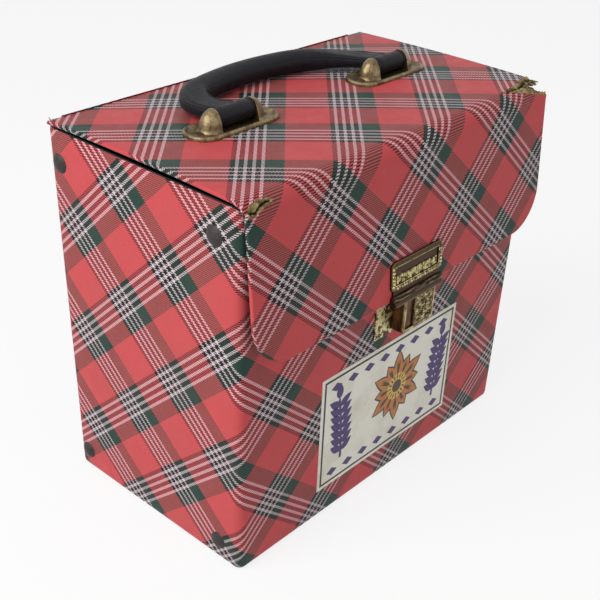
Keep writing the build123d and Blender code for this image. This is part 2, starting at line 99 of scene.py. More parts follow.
def plain_number(label, about, default):
    """A plain number."""
    return FloatProperty(name=label, description=about, default=default)


def whole_number(label, about, default):
    """A whole number."""
    return IntProperty(name=label, description=about, default=default)


def position(label, about, default):
    """A place in metres."""
    return FloatVectorProperty(name=label, description=about, default=default, unit="LENGTH")


def colour(label, about, red, green, blue):
    """A colour, given as on a screen."""
    return FloatVectorProperty(
        name=label, description=about, default=paint(red, green, blue), subtype="COLOR", min=0, max=1
    )


class CaseSizes(bpy.types.PropertyGroup):
    """Sizes of the folded body and of the board that it and the lid are made of."""

    board: size("Board", "Thickness of the covered board", 0.0022)
    corner: size("Corner", "Outer radius of the upright corners", 0.0045)
    base: size("Base", "Outer radius along the base", 0.004)
    end_dip: size("End dip", "How far each end's rim sags in the middle", 0.0002)
    relief: size("Relief", "Radius that the front's rim keeps inside the lid's bend", 0.0061)
    edge: size("Edge", "Radius of the covered board's edges", 0.0005)


class LidSizes(bpy.types.PropertyGroup):
    """Sizes of the bent lid."""

    gap: size("Gap", "Gap between the body's rim and the lid", 0.0004)
    front_rise: size("Front rise", "How much higher the front of the top is than its back", 0.0006)
    crown: size("Crown", "Radius of the slightly domed top", 2.0)
    bend: size("Bend", "Outer radius of the bend over the front", 0.009)
    standoff: size("Standoff", "How far the bend stands in front of the body", 0.0034)
    lean: angle("Lean", "How far the flap leans out of the upright", 5)
    flap: size("Flap", "Length of the flap below the bend", 0.0684)
    flap_corner: size("Flap corner", "Radius of the flap's lower corners", 0.023)
    rear: size("Rear", "Radius of the rear edge", 0.002)
    tear_depth: size("Tear depth", "How deep the torn board lies below its covering", 0.0011)
    strip: size("Strip", "Thickness of the covering that is the hinge", 0.0005)


class ClothSizes(bpy.types.PropertyGroup):
    """The woven pattern: its repeat, its threads and its colours."""

    repeat_width: size("Repeat width", "Width of one diamond of the pattern", 0.0633)
    repeat_height: size("Repeat height", "Height of one diamond of the pattern", 0.0577)
    slant: plain_number("Slant", "Sideways drift of the pattern per height", -0.015)
    threads: whole_number("Threads", "Threads in one repeat", 120)
    black_threads: whole_number("Black threads", "Threads in each black stripe", 6)
    white_threads: whole_number("White threads", "Threads in each white stripe", 4)
    pairs: whole_number("Pairs", "Black and white stripe pairs in a band", 4)
    green_threads: whole_number("Green threads", "Threads in the green stripe", 23)
    coral: colour("Coral", "The ground colour", 208, 80, 84)
    green: colour("Green", "The green stripe", 32, 64, 56)
    white: colour("White", "The white stripes", 218, 203, 208)
    # also the colour of the painted shade between threads
    black: colour("Black", "The black stripes", 12, 10, 12)
    fibre: colour("Fibre", "The bare board where the covering is torn", 174, 155, 110)


class HandleSizes(bpy.types.PropertyGroup):
    """The leather handle's line and sections."""

    start: size("Start", "Where the straps leave their tabs, behind the pins", 0.0055)
    splay: angle("Splay", "How far the straps spread sideways where they start", 32)
    shoulder: size("Shoulder", "Radius of the left shoulder", 0.018)
    shoulder_arc: angle("Shoulder arc", "How far the left shoulder turns", 106)
    crown: size("Crown", "Radius of the middle of the grip", 0.130)
    crown_arc: angle("Crown arc", "How far the middle of the grip turns", 26)
    strap_width: size("Strap width", "Width of the flat straps", 0.0150)
    strap_thick: size("Strap thickness", "Thickness of the flat straps", 0.0054)
    grip_width: size("Grip width", "Width of the round grip", 0.0122)
    grip_thick: size("Grip thickness", "Thickness of the round grip", 0.0114)
    tab_width: size("Tab width", "Width of the tabs round the pins", 0.0218)
    tab_radius: size("Tab radius", "Outer radius of the tabs", 0.00455)
    welt: size("Welt", "Radius of the raised lines along the leather's edges", 0.00042)
    leather: colour("Leather", "The handle's leather", 15, 14, 18)
    rubbed: colour("Rubbed leather", "The leather where hands have rubbed it", 33, 31, 40)


class PlateSizes(bpy.types.PropertyGroup):
    """Sizes of the cast handle plates and their bell-shaped ears."""

    length: size("Length", "Length of a plate", 0.0520)
    width: size("Width", "Width of a plate", 0.0190)
    corner: size("Corner", "Radius of a plate's ends", 0.0085)
    web: size("Web", "Thickness inside the rim", 0.0010)
    rim: size("Rim", "Height of the rim", 0.0020)
    gap: size("Gap", "Distance between a plate's ears", 0.0224)
    ear_height: size("Ear height", "Height of an ear above its pin", 0.0048)
    ear_width: size("Ear width", "Half the width of an ear's foot", 0.0061)
    ear_length: size("Ear length", "How far an ear's foot reaches outward from its flat face", 0.0076)
    fillet: size("Fillet", "Height of the fillet round an ear's foot", 0.0011)
    flare: plain_number("Flare", "How far the fillet spreads, as a share of the ear", 0.18)


class FittingFinish(bpy.types.PropertyGroup):
    """Colours and small sizes of the metal fittings."""

    bright: colour("Bright brass", "Rubbed brass", 212, 200, 146)
    dull: colour("Dull brass", "Aged brass", 140, 124, 92)
    tarnish: colour("Tarnish", "The brown film in the hollows", 92, 72, 52)
    # also the painted shade on the hasp's step and lip, and the dark of painted reflections on the lock
    dark: colour("Dark film", "The darkest film", 66, 44, 31)
    lacquer: colour("Lacquer", "The dark rivets", 40, 32, 32)
    steel: colour("Steel", "Backings, pins and spring", 130, 130, 128)
    bead: size("Bead", "Radius of the hasp's beaded border", 0.00095)
    bead_pitch: size("Bead pitch", "Distance between the beads", 0.0018)
    travel: size("Travel", "How far the button slides", 0.0045)
    wire: size("Wire", "Radius of the spring's wire", 0.000225)
    turns: whole_number("Turns", "Turns of the spring", 3)


class LabelLook(bpy.types.PropertyGroup):
    """The printed label's layout and colours."""

    margin: size("Margin", "Distance from the paper's edge to the frame line", 0.0019)
    line: size("Line", "Width of the frame line", 0.0013)
    ink: size("Ink", "Height of each printed layer above the one below it", 0.00001)
    bloom: size("Bloom", "Radius of the large bloom", 0.0225)
    paper: colour("Paper", "The label's paper", 236, 234, 222)
    frame_black: colour("Frame", "The frame line", 24, 22, 26)
    purple: colour("Purple", "The sprigs and lozenges", 62, 38, 104)
    orange: colour("Orange", "The petals", 196, 122, 52)
    yellow: colour("Yellow", "The bloom's ring", 222, 186, 92)
    brown: colour("Brown", "The bloom's middle", 70, 44, 26)


class StageSettings(bpy.types.PropertyGroup):
    """Camera, lamps and floor."""

    camera_place: position("Camera place", "Where the camera stands", (-0.3605, -0.3154, 0.3599))
    camera_bearing: angle("Bearing", "Where the camera looks, turned from the back towards the right", 48.95)
    camera_drop: angle("Drop", "How far below the horizon the camera looks", 34.32)
    camera_roll: angle("Roll", "How far the camera is turned about its own line of sight", 2.49)
    focal: plain_number("Focal length", "In millimetres for a 36 mm sensor", 60.64)
    shift: plain_number("Shift", "Vertical shift of the image", 0.1333)
    key_place: position("Key place", "Where the key lamp hangs", (-0.95, 0.10, 0.95))
    key_watts: plain_number("Key", "Power of the soft key lamp", 11.5)
    key_size: size("Key size", "Side of the key lamp", 0.9)
    fill_place: position("Fill place", "Where the fill lamp hangs", (0.15, -1.1, 0.75))
    fill_watts: plain_number("Fill", "Power of the front fill lamp", 0.6)
    fill_size: size("Fill size", "Side of the fill lamp", 0.8)
    sky: plain_number("Sky", "Light from all around", 0.42)
    floor_colour: colour("Floor", "The pale floor", 252, 252, 252)
    floor_white: plain_number("Floor white", "Share of plain white that the camera sees in the floor", 0.82)


class RecordCase(bpy.types.PropertyGroup):
    """Everything that a user may change."""

    case: PointerProperty(type=CaseSizes)
    lid: PointerProperty(type=LidSizes)
    cloth: PointerProperty(type=ClothSizes)
    handle: PointerProperty(type=HandleSizes)
    plates: PointerProperty(type=PlateSizes)
    metal: PointerProperty(type=FittingFinish)
    label: PointerProperty(type=LabelLook)
    stage: PointerProperty(type=StageSettings)


def settings():
    """The scene's settings for this case."""
    return bpy.context.scene.record_case


# Meshes


class Skin:
    """Points and faces of one piece while it is being made."""

    def __init__(self):
        self.points = []
        self.faces = []

    def point(self, place):
        """Add a point and return its number."""
        self.points.append(tuple(place))
        return len(self.points) - 1

    def face(self, corners, material=0, cloth=None):
        """Add a face, with one place on the cloth for each corner if it is covered."""
        self.faces.append((corners, material, cloth))

    def loft(self, rings, caps=True):
        """Faces between rings of equally many point numbers, and the two ends."""
        around = len(rings[0])
        for near, far in zip(rings, rings[1:]):
            for k in range(around):
                after = (k + 1) % around
                self.face((near[k], near[after], far[after], far[k]))
        if caps:
            self.face(tuple(reversed(rings[0])))
            self.face(tuple(rings[-1]))

    def sheet(self, face, back, cloth=None, back_material=0):
        """A closed sheet between two grids of point numbers, its face at places on the cloth if given."""
        last_column, last_row = len(face) - 1, len(face[0]) - 1
        for c in range(last_column):
            for r in range(last_row):
                square = ((c, r), (c + 1, r), (c + 1, r + 1), (c, r + 1))
                places = [cloth[a][b] for a, b in square] if cloth else None
                self.face([face[a][b] for a, b in square], 0, places)
                self.face([back[a][b] for a, b in reversed(square)], back_material)
            for r, turn in ((0, 1), (last_row, -1)):
                edge = [face[c][r], back[c][r], back[c + 1][r], face[c + 1][r]]
                self.face(edge[::turn], back_material)
        for r in range(last_row):
            for c, turn in ((0, 1), (last_column, -1)):
                edge = [face[c][r], face[c][r + 1], back[c][r + 1], back[c][r]]
                self.face(edge[::turn], back_material)

    def piece(self, name, materials, smooth=True):
        """The finished object, linked to the scene."""
        mesh = bpy.data.meshes.new(name)
        mesh.from_pydata(self.points, [], [corners for corners, _, _ in self.faces])
        layer = mesh.uv_layers.new(name="cloth") if any(cloth for _, _, cloth in self.faces) else None
        for polygon, (_, material, cloth) in zip(mesh.polygons, self.faces):
            polygon.material_index = material
            polygon.use_smooth = smooth
            if layer and cloth:
                for loop, place in zip(polygon.loop_indices, cloth):
                    layer.data[loop].uv = place
        for material in materials:
            mesh.materials.append(material)
        mesh.validate()
        made = bpy.data.objects.new(name, mesh)
        bpy.context.scene.collection.objects.link(made)
        return made


def keep_creases(piece, degrees=35):
    """Smooth shading that stays sharp at hard edges."""
    piece.data.set_sharp_from_angle(angle=math.radians(degrees))


def give_points(piece, name, values):
    """One number for each point, for the material to read."""
    attribute = piece.data.attributes.new(name, "FLOAT", "POINT")
    attribute.data.foreach_set("value", values)


def wear(node, material):
    """Give a carried-over node its finish."""
    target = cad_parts[node]
    target.data.materials.clear()
    target.data.materials.append(material)


def blend_share(value, start, end):
    """0 before start, 1 after end, and smooth between."""
    share = min(max((value - start) / (end - start), 0), 1)
    return share * share * (3 - 2 * share)


def rounded_drop(distance, radius):
    """How far a rounded edge lies below its face, at a distance from the rim."""
    if distance >= radius:
        return 0.0
    return radius - math.sqrt(max(radius**2 - (radius - distance) ** 2, 0))


def steps(start, end, longest):
    """Evenly spaced values from start to end, no further apart than the longest step."""
    count = max(1, math.ceil(abs(end - start) / longest))
    return [start + (end - start) * k / count for k in range(count + 1)]


def turns_of(parts):
    """The bearings of so many even parts of a full turn, in radians."""
    return [2 * math.pi * k / parts for k in range(parts)]


def pointing(bearing):
    """The flat direction at a bearing in radians."""
    return Vector((math.cos(bearing), math.sin(bearing)))


def rough(place, scale, height):
    """A repeatable uneven height."""
    return noise.noise(Vector(place) * scale) * height


# Materials


class Recipe:
    """A new material and the short forms of the nodes that it needs."""

    def __init__(self, name):
        self.material = bpy.data.materials.new(name)
        self.material.use_nodes = True
        self.nodes = self.material.node_tree.nodes
        self.links = self.material.node_tree.links
        self.shader = self.nodes["Principled BSDF"]

    def put(self, value, socket):
        """Feed a socket from a number, a colour or another socket."""
        if isinstance(value, bpy.types.NodeSocket):
            self.links.new(value, socket)
        elif hasattr(value, "__len__"):
            socket.default_value = (*value, 1.0)[: len(socket.default_value)]
        else:
            socket.default_value = value

    def math(self, operation, *values):
        """One sum."""
        node = self.nodes.new("ShaderNodeMath")
        node.operation = operation
        for value, socket in zip(values, node.inputs):
            self.put(value, socket)
        return node.outputs[0]

    def add(self, first, second):
        """One value added to another."""
        return self.math("ADD", first, second)

    def times(self, first, second):
        """One value multiplied by another."""
        return self.math("MULTIPLY", first, second)

    def most(self, first, second):
        """The larger of two values."""
        return self.math("MAXIMUM", first, second)

    def mix(self, share, first, second):
        """Two colours mixed."""
        node = self.nodes.new("ShaderNodeMix")
        node.data_type = "RGBA"
        self.put(share, node.inputs["Factor"])
        self.put(first, node.inputs["A"])
        self.put(second, node.inputs["B"])
        return node.outputs["Result"]

    def spread(self, value, low, high, new_low, new_high):
        """One range mapped to another and clamped."""
        node = self.nodes.new("ShaderNodeMapRange")
        for number, socket in zip((value, low, high, new_low, new_high), node.inputs):
            self.put(number, socket)
        return node.outputs[0]

    def place(self):
        """The surface's place in the piece's own space."""
        return self.nodes.new("ShaderNodeTexCoord").outputs["Object"]

    def axes(self, place):
        """The X, Y and Z of a place, by name."""
        node = self.nodes.new("ShaderNodeSeparateXYZ")
        self.links.new(place, node.inputs[0])
        return node.outputs

    def mask(self, value, low, high):
        """0 below a range of values, 1 above it, and even between."""
        return self.spread(value, low, high, 0.0, 1.0)

    def grain(self, scale, detail=4.0, rough_share=0.6, stretch=(1, 1, 1)):
        """Noise in the piece's own space, in grains per metre."""
        mapping = self.nodes.new("ShaderNodeMapping")
        mapping.inputs["Scale"].default_value = stretch
        self.links.new(self.place(), mapping.inputs["Vector"])
        node = self.nodes.new("ShaderNodeTexNoise")
        self.links.new(mapping.outputs[0], node.inputs["Vector"])
        node.inputs["Scale"].default_value = scale
        node.inputs["Detail"].default_value = detail
        node.inputs["Roughness"].default_value = rough_share
        return node.outputs["Fac"]

    def cells(self, scale):
        """Distance to the nearest of scattered cells."""
        node = self.nodes.new("ShaderNodeTexVoronoi")
        self.links.new(self.place(), node.inputs["Vector"])
        node.inputs["Scale"].default_value = scale
        return node.outputs["Distance"]

    def bands(self, value, stops):
        """A ramp of hard-edged colour bands."""
        node = self.nodes.new("ShaderNodeValToRGB")
        ramp = node.color_ramp
        ramp.interpolation = "CONSTANT"
        for place, band in stops[1:-1]:
            ramp.elements.new(place).color = (*band, 1)
        for element, (place, band) in zip(sorted(ramp.elements, key=lambda e: e.position), stops):
            element.position = place
            element.color = (*band, 1)
        self.put(value, node.inputs[0])
        return node.outputs[0]

    def bump(self, height, strength, distance):
        """Relief on the surface."""
        node = self.nodes.new("ShaderNodeBump")
        node.inputs["Strength"].default_value = strength
        node.inputs["Distance"].default_value = distance
        self.links.new(height, node.inputs["Height"])
        self.links.new(node.outputs[0], self.shader.inputs["Normal"])

    def attribute(self, name):
        """A number that the piece's points carry."""
        node = self.nodes.new("ShaderNodeAttribute")
        node.attribute_name = name
        return node.outputs["Fac"]

    def finish(self, tone, roughness, metallic=0.0, specular=0.5):
        """Set the shader's main sockets and give back the material."""
        self.put(tone, self.shader.inputs["Base Color"])
        self.put(roughness, self.shader.inputs["Roughness"])
        self.put(metallic, self.shader.inputs["Metallic"])
        self.put(specular, self.shader.inputs["Specular IOR Level"])
        return self.material


def cloth_band_stops(cloth):
    """The colours of one thread family, as shares of the repeat."""
    stops = []
    thread = 0
    for _ in range(cloth.pairs):
        stops.append((thread / cloth.threads, cloth.black))
        stops.append(((thread + cloth.black_threads) / cloth.threads, cloth.white))
        thread += cloth.black_threads + cloth.white_threads
    stops.append((thread / cloth.threads, cloth.green))
    stops.append(((thread + cloth.green_threads) / cloth.threads, cloth.coral))
    return stops


def woven_colour(recipe, cloth):
    """Two thread families crossing in a two-over-two twill, with painted shade as a dark line between
    threads.
    """
    threads = float(cloth.threads)
    mapped = recipe.nodes.new("ShaderNodeUVMap")
    mapped.uv_map = "cloth"
    place = recipe.axes(mapped.outputs[0])
    numbers = []
    colours = []
    across = []
    for slope in ("SUBTRACT", "ADD"):
        family = recipe.times(recipe.math(slope, place["X"], place["Y"]), threads)
        number = recipe.math("FLOOR", family)
        middle = recipe.add(recipe.math("FLOORED_MODULO", number, threads), 0.5)
        numbers.append(number)
        colours.append(recipe.bands(recipe.math("DIVIDE", middle, threads), cloth_band_stops(cloth)))
        across.append(recipe.math("PINGPONG", family, 0.5))
    shed = recipe.math("FLOORED_MODULO", recipe.math("SUBTRACT", numbers[1], numbers[0]), 4.0)
    on_top = recipe.math("LESS_THAN", shed, 1.5)
    below = recipe.math("SUBTRACT", 1.0, on_top)
    woven = recipe.mix(on_top, colours[1], colours[0])
    across_top = recipe.add(recipe.times(across[0], on_top), recipe.times(across[1], below))
    # painted shade: each thread darkens towards its edges, as if its rounding turned away from the light
    return recipe.mix(recipe.spread(across_top, 0.0, 0.22, 0.35, 0.0), woven, cloth.black)


def plaid_covering(name, torn=False):
    """Woven cloth under a thin semi-matt film, a little soiled."""
    soil_colour, speck_colour = paint(120, 96, 84), paint(84, 50, 48)
    recipe = Recipe(name)
    woven = woven_colour(recipe, settings().cloth)
    soil = recipe.spread(recipe.grain(38, 5, 0.65), 0.35, 0.75, 0.0, 0.16)
    specks = recipe.spread(recipe.grain(900, 2, 0.5), 0.66, 0.78, 0.0, 0.3)
    tone = recipe.mix(specks, recipe.mix(soil, woven, soil_colour), speck_colour)
    roughness = recipe.spread(recipe.grain(150, 4, 0.6), 0.3, 0.7, 0.40, 0.56)
    relief = recipe.add(recipe.grain(2600, 3, 0.6), recipe.times(recipe.grain(70, 3, 0.5), 6.0))
    if torn:
        tone, roughness, relief = with_tears(recipe, tone, roughness, relief)
    recipe.bump(relief, 0.35, 0.00012)
    return recipe.finish(tone, roughness, specular=0.13)


def with_tears(recipe, tone, roughness, relief):
    """The covering's values with fibrous board where the piece's points are torn, with painted shade in the
    cracks.
    """
    deep_fibre, crack_shade_colour = paint(88, 68, 42), paint(38, 29, 19)
    ragged = recipe.spread(recipe.grain(1500, 3), 0.3, 0.7, -0.22, 0.22)
    bare = recipe.mask(recipe.add(recipe.attribute("tear"), ragged), 0.44, 0.52)
    fibres = recipe.grain(700, 6, 0.75, (0.35, 1, 1))
    clumps = recipe.add(fibres, recipe.times(recipe.grain(240, 3), 0.7))
    board = recipe.mix(recipe.mask(clumps, 0.70, 0.94), deep_fibre, settings().cloth.fibre)
    # painted shade: the cracks are coloured dark as if shade fell into them
    crack = recipe.mask(recipe.attribute("crack"), 0.3, 0.75)
    return (
        recipe.mix(bare, tone, recipe.mix(crack, board, crack_shade_colour)),
        recipe.most(roughness, recipe.times(bare, 0.9)),
        recipe.add(relief, recipe.times(recipe.times(fibres, bare), 9.0)),
    )


def covered_edge():
    """The covering turned over a board's edge: dark red rubbed in patches, darkened nearly to black as
    painted shade.
    """
    recipe = Recipe("covered_edge")
    rub = recipe.mask(recipe.grain(420, 4, 0.7), 0.42, 0.66)
    recipe.bump(recipe.grain(1800), 0.4, 0.0001)
    # both tones are darkened nearly to black as painted shade along the edge
    return recipe.finish(recipe.mix(rub, paint(62, 21, 24), paint(24, 13, 14)), 0.6)


def black_paper():
    """Matt lining paper with a faint fibre."""
    recipe = Recipe("black_paper")
    scuff = recipe.spread(recipe.grain(60, 4), 0.5, 0.75, 0.0, 0.5)
    recipe.bump(recipe.grain(1400, 5, 0.7, (1, 0.4, 1)), 0.3, 0.0001)
    return recipe.finish(recipe.mix(scuff, paint(26, 24, 24), paint(58, 52, 48)), 0.85)


def handle_leather():
    """Black leather, rubbed grey along its ridges."""
    handle = settings().handle
    recipe = Recipe("handle_leather")
    folds = recipe.grain(260, 5, 0.65, (1, 0.5, 1))
    tone = recipe.mix(recipe.spread(folds, 0.42, 0.72, 0.0, 0.75), handle.leather, handle.rubbed)
    recipe.bump(recipe.add(recipe.cells(1500), recipe.times(folds, 3.0)), 0.45, 0.00025)
    return recipe.finish(tone, recipe.spread(folds, 0.3, 0.7, 0.42, 0.62), specular=0.2)


def handle_cord():
    """Plain brown cord."""
    recipe = Recipe("handle_cord")
    recipe.bump(recipe.grain(1500), 0.4, 0.0002)
    return recipe.finish(recipe.mix(recipe.grain(800), paint(140, 118, 84), paint(92, 76, 54)), 0.9)


def aged_metal(name, body_colour, film_colour, film, roughness, darker_above=None):
    """Brass or steel with a brown film that noise breaks up.

    If a height is given, the film is heavier above it and in the hollows that the piece's points carry.
    """
    recipe = Recipe(name)
    patches = recipe.grain(420, 6, 0.7)
    film_share = recipe.mask(patches, 0.62 - film / 2, 0.80 - film / 2)
    if darker_above is not None:
        height = recipe.axes(recipe.place())["Z"]
        upper = recipe.spread(height, darker_above, darker_above + 0.002, 0.0, 0.95)
        film_share = recipe.most(recipe.most(film_share, upper), recipe.attribute("hollow"))
    recipe.bump(recipe.add(recipe.cells(1400), recipe.times(patches, 2.5)), 0.35, 0.00022)
    tone = recipe.mix(film_share, body_colour, film_colour)
    return recipe.finish(tone, recipe.spread(patches, 0.3, 0.75, roughness, roughness + 0.22), 0.92)


def cast_brass():
    """The satin brass of the handle plates: brownish, with fine upright scratches."""
    metal = settings().metal
    recipe = Recipe("plate_brass")
    clouds = recipe.grain(210, 4, 0.55)
    scratches = recipe.grain(1100, 4, 0.7, (1, 1, 0.22))
    share = recipe.add(recipe.times(clouds, 0.6), recipe.times(scratches, 0.4))
    tone = recipe.mix(recipe.mask(share, 0.44, 0.60), metal.dull, metal.tarnish)
    recipe.bump(scratches, 0.7, 0.0004)
    return recipe.finish(tone, recipe.spread(clouds, 0.3, 0.7, 0.24, 0.38), 0.92)


def streaked_brass(name, pale, film):
    """Drawn brass with dark and pale upright streaks, partly the metal's grain and partly painted
    reflection.
    """
    recipe = Recipe(name)
    streaks = recipe.grain(900, 4, 0.65, (1, 1, 0.12))
    patches = recipe.grain(300, 4, 0.6)
    share = recipe.add(recipe.times(streaks, 0.75), recipe.times(patches, 0.25))
    # the streaks are partly the metal's grain and partly painted reflection
    tone = recipe.mix(recipe.mask(share, 0.42, 0.60), film, pale)
    recipe.bump(streaks, 0.5, 0.0003)
    return recipe.finish(tone, recipe.spread(patches, 0.3, 0.7, 0.26, 0.44), 0.92)


def pitted_brass(name):
    """Bright brass, pitted, with hard-edged dark patches that are partly stain and partly painted reflection
    and shade.
    """
    metal = settings().metal
    recipe = Recipe(name)
    patches = recipe.grain(230, 5, 0.62)
    pits = recipe.grain(1500, 3, 0.7)
    # the dark patches are partly stain and partly painted reflection and shade
    stain = recipe.mask(recipe.add(patches, recipe.times(pits, 0.25)), 0.60, 0.66)
    recipe.bump(recipe.add(pits, recipe.times(patches, 3.0)), 0.6, 0.0004)
    tone = recipe.mix(stain, metal.bright, metal.dark)
    return recipe.finish(tone, recipe.spread(patches, 0.3, 0.7, 0.22, 0.42), 0.9)


def hasp_brass():
    """The stamping: a dark film in its recess, and painted shade on the step below it and on its lip."""
    metal = settings().metal
    recessed, raised = 0.00105, 0.00118
    lip_low, lip_high = 0.0004, 0.0012
    form = LidForm()
    foot = flap_point(form, 0, 0, 0)
    out = form.out()
    recipe = Recipe("hasp_brass")
    place = recipe.axes(recipe.place())
    behind = recipe.times(recipe.math("SUBTRACT", place["Y"], foot.y), out.y)
    above = recipe.times(recipe.math("SUBTRACT", place["Z"], foot.z), out.z)
    # darker near the flap's face: film in the recess, painted shade on the step below it
    hollow = recipe.spread(recipe.add(behind, above), recessed, raised, 1.0, 0.0)
    # painted shade: the lip is darkened as the shaded band under the roll
    lip = recipe.spread(place["Z"], foot.z + lip_low, foot.z + lip_high, 1.0, 0.0)
    patches = recipe.grain(500, 6, 0.7)
    film = recipe.most(hollow, recipe.spread(patches, 0.50, 0.68, 0.0, 0.8))
    film = recipe.most(film, recipe.times(lip, 0.9))
    recipe.bump(patches, 0.3, 0.0002)
    tone = recipe.mix(film, metal.dull, metal.dark)
    return recipe.finish(tone, recipe.spread(patches, 0.3, 0.75, 0.24, 0.42), 0.92)


def lip_bronze():
    """Dark bronze, polished in streaks along the roll."""
    recipe = Recipe("lip_bronze")
    streaks = recipe.grain(900, 4, 0.7, (0.12, 1, 1))
    polish = recipe.mask(streaks, 0.46, 0.68)
    tone = recipe.mix(polish, paint(40, 28, 20), settings().metal.dull)
    recipe.bump(streaks, 0.5, 0.0003)
    return recipe.finish(tone, recipe.spread(streaks, 0.3, 0.7, 0.30, 0.18), 0.95)


def rivet_lacquer():
    """Dark brown lacquer, dusty and chipped a little."""
    recipe = Recipe("rivet_lacquer")
    dust = recipe.spread(recipe.grain(300, 5), 0.45, 0.75, 0.0, 0.6)
    recipe.bump(recipe.grain(900), 0.2, 0.0001)
    return recipe.finish(recipe.mix(dust, settings().metal.lacquer, paint(66, 54, 52)), 0.55, 0.12)


def printed_ink(name, tone):
    """Printing ink, slightly worn through to the paper."""
    recipe = Recipe(name)
    worn = recipe.spread(recipe.grain(1300, 5, 0.7), 0.66, 0.78, 0.0, 0.4)
    uneven = recipe.mix(recipe.spread(recipe.grain(160, 3), 0.3, 0.7, 0.0, 0.15), tone, paint(60, 46, 50))
    recipe.bump(recipe.grain(900), 0.1, 0.00005)
    return recipe.finish(recipe.mix(worn, uneven, settings().label.paper), 0.5)


def label_paper():
    """Coated paper, yellowed and soiled."""
    stain_colour, speck_colour = paint(186, 170, 132), paint(120, 100, 80)
    recipe = Recipe("label_paper")
    stain = recipe.spread(recipe.grain(55, 5, 0.6), 0.45, 0.8, 0.0, 0.55)
    specks = recipe.spread(recipe.grain(1100, 3), 0.68, 0.8, 0.0, 0.4)
    aged = recipe.mix(stain, settings().label.paper, stain_colour)
    recipe.bump(recipe.grain(240, 4), 0.25, 0.0003)
    return recipe.finish(recipe.mix(specks, aged, speck_colour), 0.48)


# Body


# The longest step along a wall, in metres, and the parts that a rounded corner is made of.
WALL_STEP = 0.009
CORNER_PARTS = 6


class BodyForm:
    """The folded body's outline, its rim and the lengths round its sheet."""

    def __init__(self):
        self.sizes = settings().case
        self.lid = LidForm()
        self.width = BODY_HIGH.x - BODY_LOW.x
        self.depth = BODY_HIGH.y - BODY_LOW.y
        self.height = BODY_HIGH.z

    def rim(self, x, y):
        """The height of the rim over a point of the wall."""
        half = self.depth / 2
        dip = (half**2 + self.sizes.end_dip**2) / (2 * self.sizes.end_dip)
        height = self.height
        if abs(x) > self.width / 2 - self.sizes.corner:
            height = self.height - self.sizes.end_dip + dip - math.sqrt(dip**2 - y**2)
        if y < self.lid.bend_y:
            reach = self.sizes.relief**2 - (self.lid.bend_y - y) ** 2
            height = min(height, self.lid.bend_z + math.sqrt(max(reach, 0)))
        return height

    def stations(self):
        """Round the body from the middle of the back, over the left end.

        Each has its place, the way outward, and the length round the sheet from the front's left edge.
        """
        corner = self.sizes.corner
        x0, x1 = BODY_LOW.x + corner, BODY_HIGH.x - corner
        y0, y1 = BODY_LOW.y + corner, BODY_HIGH.y - corner
        runs = [
            ((0, BODY_HIGH.y), (x0, BODY_HIGH.y), (x0, y1), 90),
            ((BODY_LOW.x, y1), (BODY_LOW.x, y0), (x0, y0), 180),
            ((x0, BODY_LOW.y), (x1, BODY_LOW.y), (x1, y0), 270),
            ((BODY_HIGH.x, y0), (BODY_HIGH.x, y1), (x1, y1), 0),
            ((x1, BODY_HIGH.y), (0, BODY_HIGH.y), None, 90),
        ]
        places = []
        for start, end, turn_centre, bearing in runs:
            start, end = Vector(start), Vector(end)
            outward = pointing(math.radians(bearing))
            for share in steps(0, 1, WALL_STEP / (end - start).length):
                places.append((start.lerp(end, share), outward.copy()))
            if turn_centre:
                for k in range(1, CORNER_PARTS):
                    outward = pointing(math.radians(bearing + 90 * k / CORNER_PARTS))
                    places.append((Vector(turn_centre) + outward * corner, outward))
        lengths = [0.0]
        for (before, _), (place, _) in zip(places, places[1:]):
            lengths.append(lengths[-1] + (place - before).length)
        left_end = Vector((BODY_LOW.x, y0))
        near_front = min(range(len(places)), key=lambda k: (places[k][0] - left_end).length)
        start_length = lengths[near_front] + corner
        return [(place, outward, run - start_length) for (place, outward), run in zip(places, lengths)]


def cloth_place(start, across, up):
    """A point of the sheet as a place in the pattern, counted in repeats."""
    cloth = settings().cloth
    rise = up - start[1]
    return ((across - start[0] - cloth.slant * rise) / cloth.repeat_width, rise / cloth.repeat_height)


# Where the pattern starts on each part of the covering, in metres across and along its sheet.
BODY_CLOTH_START = (0.0388, 0.0054)
TOP_CLOTH_START = (0.0109, 0.0128)
FLAP_CLOTH_START = (0.0080, 0.0101)


def body_profile(form, place, outward):
    """One upright section through the wall: how far in, how high, and how high on the cloth."""
    outer_step, inner_step, rounding = 0.012, 0.03, 0.3
    sizes = form.sizes
    inner = place - outward * sizes.board
    outer_rim = form.rim(place.x, place.y)
    inner_rim = form.rim(inner.x, inner.y)
    section = []
    for turned in steps(0, math.pi / 2, math.radians(23)):
        inset = sizes.base * (1 - math.sin(turned))
        rise = sizes.base * (1 - math.cos(turned))
        section.append((inset, rise, sizes.base * turned - sizes.base * (math.pi / 2 - 1)))
    for height in steps(sizes.base, outer_rim - sizes.edge, outer_step)[1:]:
        section.append((0, height, height))
    section.append((sizes.edge * rounding, outer_rim - sizes.edge * rounding, outer_rim))
    section.append((sizes.edge, outer_rim, outer_rim + sizes.edge))
    section.append((sizes.board - sizes.edge, inner_rim, outer_rim + sizes.board))
    section.append((sizes.board, inner_rim - sizes.edge, outer_rim + sizes.board + sizes.edge))
    for height in steps(inner_rim - sizes.edge, sizes.base, inner_step)[1:]:
        section.append((sizes.board, height, outer_rim + sizes.board))
    section.append((sizes.base, sizes.board, outer_rim + sizes.board))
    return section


